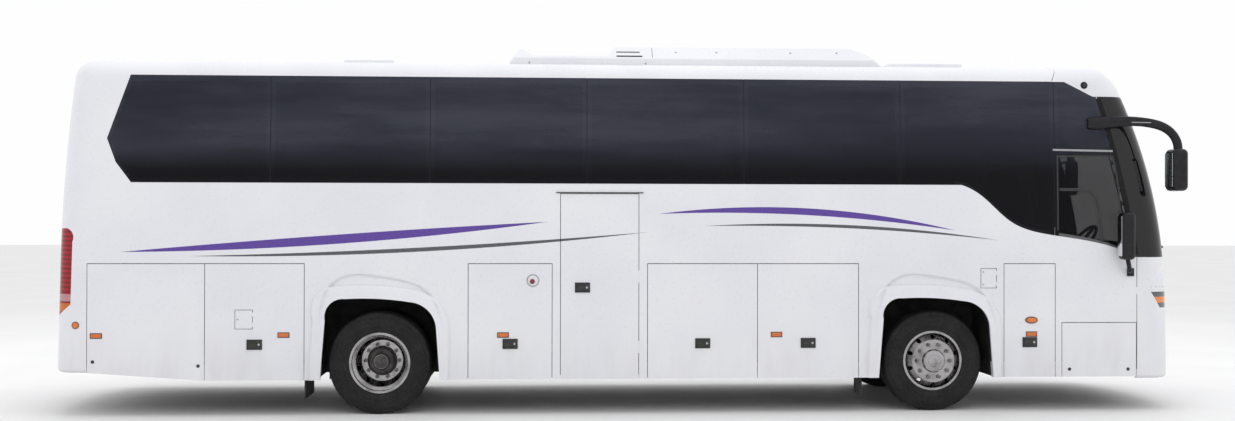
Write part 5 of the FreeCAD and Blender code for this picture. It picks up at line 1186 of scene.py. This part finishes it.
def ribbon(name, node, low, high, proud, end, finish, body="coach_body", seat=0.0, steps=24):
    """A plate bent to the bowed front or back: y and z limits, thickness and set-off."""
    work = bmesh.new()
    loops = []
    for i in range(steps + 1):
        y = low[0] + (high[0] - low[0]) * i / steps
        loop = []
        for z, depths in ((low[1], (seat, seat + proud)), (high[1], (seat + proud, seat))):
            place, normal = on_end(node, y, z, end)
            flat = Vector((normal.x, normal.y, 0.0)).normalized()
            loop += [work.verts.new(place + flat * depth) for depth in depths]
        loops.append(loop)
    skinned(work, loops)
    bmesh.ops.recalc_face_normals(work, faces=work.faces)
    sharp = [edge for edge in work.edges if edge.calc_face_angle(0) > 0.6]
    bmesh.ops.bevel(
        work, geom=sharp, offset=min(RIBBON_SOFT, proud * 0.4), segments=2, profile=0.5,
        affect="EDGES", clamp_overlap=True)
    return made(name, work, finish, body)


ribbon(
    "intake_mesh", "front_bumper", (-0.60, 0.628), (0.60, 0.760), 0.004, FRONT, FASCIA,
    seat=-0.052)
for side, outward in SIDES:
    spot = on_end("front_bumper", outward * FOG_PLACE[0], FOG_PLACE[1], FRONT)
    dome(f"fog_bezel_{side}", *spot, 0.068, 0.004, BLACK_PLASTIC)
    dome(f"fog_lamp_{side}", *spot, 0.054, 0.010, LAMP_GLASS, LENS_SEAT)
for side, outward in SIDES:
    for number, y in enumerate(BEAM_PLACES):
        spot = on_end("headlamps", outward * y, BEAM_HEIGHT, FRONT)
        dome(f"beam_ring_{number}_{side}", *spot, 0.042, 0.003, LOCK_METAL)
        dome(f"beam_lens_{number}_{side}", *spot, 0.036, 0.008, LAMP_GLASS, LENS_SEAT)
for side, outward in SIDES:
    left, right = outward * BANK_MIDDLE - BANK_HALF, outward * BANK_MIDDLE + BANK_HALF
    for row in range(LOUVRE_ROWS):
        z = LOUVRE_FOOT + row * LOUVRE_PITCH
        ribbon(
            f"louvre_{side}_{row}", "engine_door", (left, z), (right, z + LOUVRE_TALL), 0.009,
            BACK, BLACK_PLASTIC, "engine_door", steps=6)
ribbon(
    "engine_door_handle", "engine_door", (-0.09, 0.93), (0.09, 0.975), 0.0095, BACK,
    BLACK_PLASTIC, "engine_door", steps=6)
ribbon("brake_lamp", "rear_panel", (-0.17, 3.235), (0.17, 3.262), 0.008, BACK, RED, steps=8)


# The entrance door on the left has a black pull handle on a square back plate, below its glass.
# Both are moulded in one piece and screwed through the leaf.

work = bmesh.new()
rounded_block(work, (4.470, 1.2755, 0.945), (4.590, 1.285, 1.035), 0.004)
rounded_block(work, (4.485, 1.283, 0.975), (4.575, 1.297, 1.008), 0.005)
made("entrance_handle", work, BLACK_PLASTIC, "entrance_door")


# Where painted mouldings meet, a shut line of black sealant runs flush in the joint: behind the
# front mask, over the roof ahead of the last pane, under the mask, and along the pillar beside the
# windscreen. A light strip of the same section closes the slot in the mirror arm.

CORNER_X = 5.168
CAP_X = 4.371
MASK_FOOT = 1.250
SIDE_JOINTS = (
    ("corner_joint_low", "front_bumper", CORNER_X, 0.42, 0.0, 0.0635, 13),
    ("corner_joint_high", "front_mask", CORNER_X, MASK_FOOT, 0.0, 0.0598, 6),
    ("cap_joint", "front_cap", 4.310, 3.340, 0.0102, 0.0213, 7))
BOW_CENTRE, BOW_REACH = 3.9, 5.0
BOW_START, BOW_STEP = -42.0, 1.4
PILLAR_POINTS = ((4.768, 3.182), (4.930, 2.595), (5.149, 1.552))
PILLAR_TOP = 3.165
PILLAR_FEET = {"right": 1.575, "left": 2.66}
PILLAR_STEPS = 24
PILLAR_INSET = 0.016
SHUT_DEPTH = 0.003


def shut_line(name, node, rays, width=0.006, proud=0.0006, finish=SEALANT):
    """A thin strip pressed on a surface where rays (origin, direction) meet it in turn."""
    met = [hit(node, origin, direction) for origin, direction in rays]
    work = bmesh.new()
    loops = []
    for (place, along), (_, normal) in zip(walked([place for place, _ in met]), met):
        across = normal.cross(along).normalized() * width / 2
        low, high = place - normal * SHUT_DEPTH, place + normal * proud
        spots = (low - across, high - across * 0.8, high + across * 0.8, low + across)
        loops.append([work.verts.new(spot) for spot in spots])
    skinned(work, loops)
    return made(name, work, finish)


def pillar_x(z):
    """Where the rear edge of the windscreen lies at a height, on a curve through three points."""
    x = 0.0
    for place, height in PILLAR_POINTS:
        share = 1.0
        for _, other in PILLAR_POINTS:
            if other != height:
                share *= (z - other) / (height - other)
        x += place * share
    return x


for side, outward in SIDES:
    for name, node, x, z, step_x, step_z, count in SIDE_JOINTS:
        rays = [inward(x + k * step_x, z + k * step_z, outward) for k in range(count)]
        shut_line(f"{name}_{side}", node, rays)
rays = [((CAP_X, -1.16 + k * 0.058, ABOVE), DOWN) for k in range(41)]
shut_line("cap_joint_top", "front_cap", rays)
rays = []
for k in range(61):
    turn = math.radians(BOW_START + k * BOW_STEP)
    spoke = Vector((math.cos(turn), math.sin(turn), 0.0))
    rays.append((Vector((BOW_CENTRE, 0.0, MASK_FOOT)) + spoke * BOW_REACH, -spoke))
shut_line("mask_joint", "front_mask", rays)
for side, outward in SIDES:
    foot = PILLAR_FEET[side]
    heights = [foot + (PILLAR_TOP - foot) * k / PILLAR_STEPS for k in range(PILLAR_STEPS + 1)]
    rays = [inward(pillar_x(z) + PILLAR_INSET, z, outward) for z in heights]
    shut_line(f"pillar_joint_{side}", "windscreen", rays, 0.060, 0.0010)
rays = [inward(5.07 + k * 0.036, 2.912 - k * 0.001, -1) for k in range(6)]
shut_line("mirror_arm_slot", "mirrors", rays, 0.011, 0.0008, RACK_TRIM)


# The studio is a plain pale floor under soft light, seen from where the picture was taken.
# The floor is one wide matt sheet, and five area lamps and an even sky light the coach.

CAMERA_PLACE = (-0.990, -15.704, 1.932)
CAMERA_YAW = 3.498
CAMERA_PITCH = 0.323
CAMERA_ROLL = 0.107
CAMERA_LENS = 42.48
SENSOR = 36.0
FAR_CLIP = 500.0
FLOOR_REACH = 90.0
yaw, pitch = math.radians(CAMERA_YAW), math.radians(CAMERA_PITCH)
ahead = Vector((
    math.sin(yaw) * math.cos(pitch), math.cos(yaw) * math.cos(pitch), math.sin(pitch)))
lens = bpy.data.cameras.new("camera")
lens.lens = CAMERA_LENS
lens.sensor_width = SENSOR
lens.clip_end = FAR_CLIP
camera = bpy.data.objects.new("camera", lens)
scene.collection.objects.link(camera)
level = ahead.to_track_quat("-Z", "Y").to_matrix()
rolled = level @ Matrix.Rotation(math.radians(CAMERA_ROLL), 3, "Z")
camera.matrix_world = Matrix.Translation(CAMERA_PLACE) @ rolled.to_4x4()
scene.camera = camera

FLOOR = Finish("studio_floor")
FLOOR.mottle(0.5, (0.80, 0.80, 0.80), (0.83, 0.83, 0.83))
FLOOR.grain(3.0, 0.75, 0.85)
work = bmesh.new()
bmesh.ops.create_grid(work, x_segments=4, y_segments=4, size=FLOOR_REACH)
floor = bpy.data.objects.new("studio_floor", meshed("studio_floor", work))
floor.data.materials.append(FLOOR.material)
scene.collection.objects.link(floor)

world = bpy.data.worlds.new("studio")
world.use_nodes = True
scene.world = world
sky = world.node_tree.nodes["Background"]
sky.inputs["Color"].default_value = (0.99, 0.99, 1.0, 1.0)
sky.inputs["Strength"].default_value = 1.0
scene.view_settings.view_transform = "Standard"


def soft_light(name, place, aim, wide, tall, power):
    """A wide white area lamp that isn't mirrored in glass or paint."""
    lamp = bpy.data.lights.new(name, "AREA")
    lamp.shape = "RECTANGLE"
    lamp.size, lamp.size_y = wide, tall
    lamp.energy = power
    holder = bpy.data.objects.new(name, lamp)
    holder.visible_glossy = False
    toward = (Vector(aim) - Vector(place)).to_track_quat("-Z", "Y").to_matrix().to_4x4()
    holder.matrix_world = Matrix.Translation(place) @ toward
    scene.collection.objects.link(holder)


soft_light("overhead", (0.0, 0.0, 11.0), (0.0, 0.0, 0.0), 16.0, 9.0, 360.0)
soft_light("right_side", (-2.0, -13.0, 8.0), (0.0, 0.0, 1.6), 14.0, 5.0, 170.0)
soft_light("left_side", (2.0, 13.0, 8.0), (0.0, 0.0, 1.6), 14.0, 5.0, 170.0)
soft_light("ahead", (14.0, -2.0, 6.0), (4.0, 0.0, 1.6), 7.0, 5.0, 110.0)
soft_light("behind", (-14.0, 2.0, 6.0), (-4.0, 0.0, 1.6), 7.0, 5.0, 110.0)
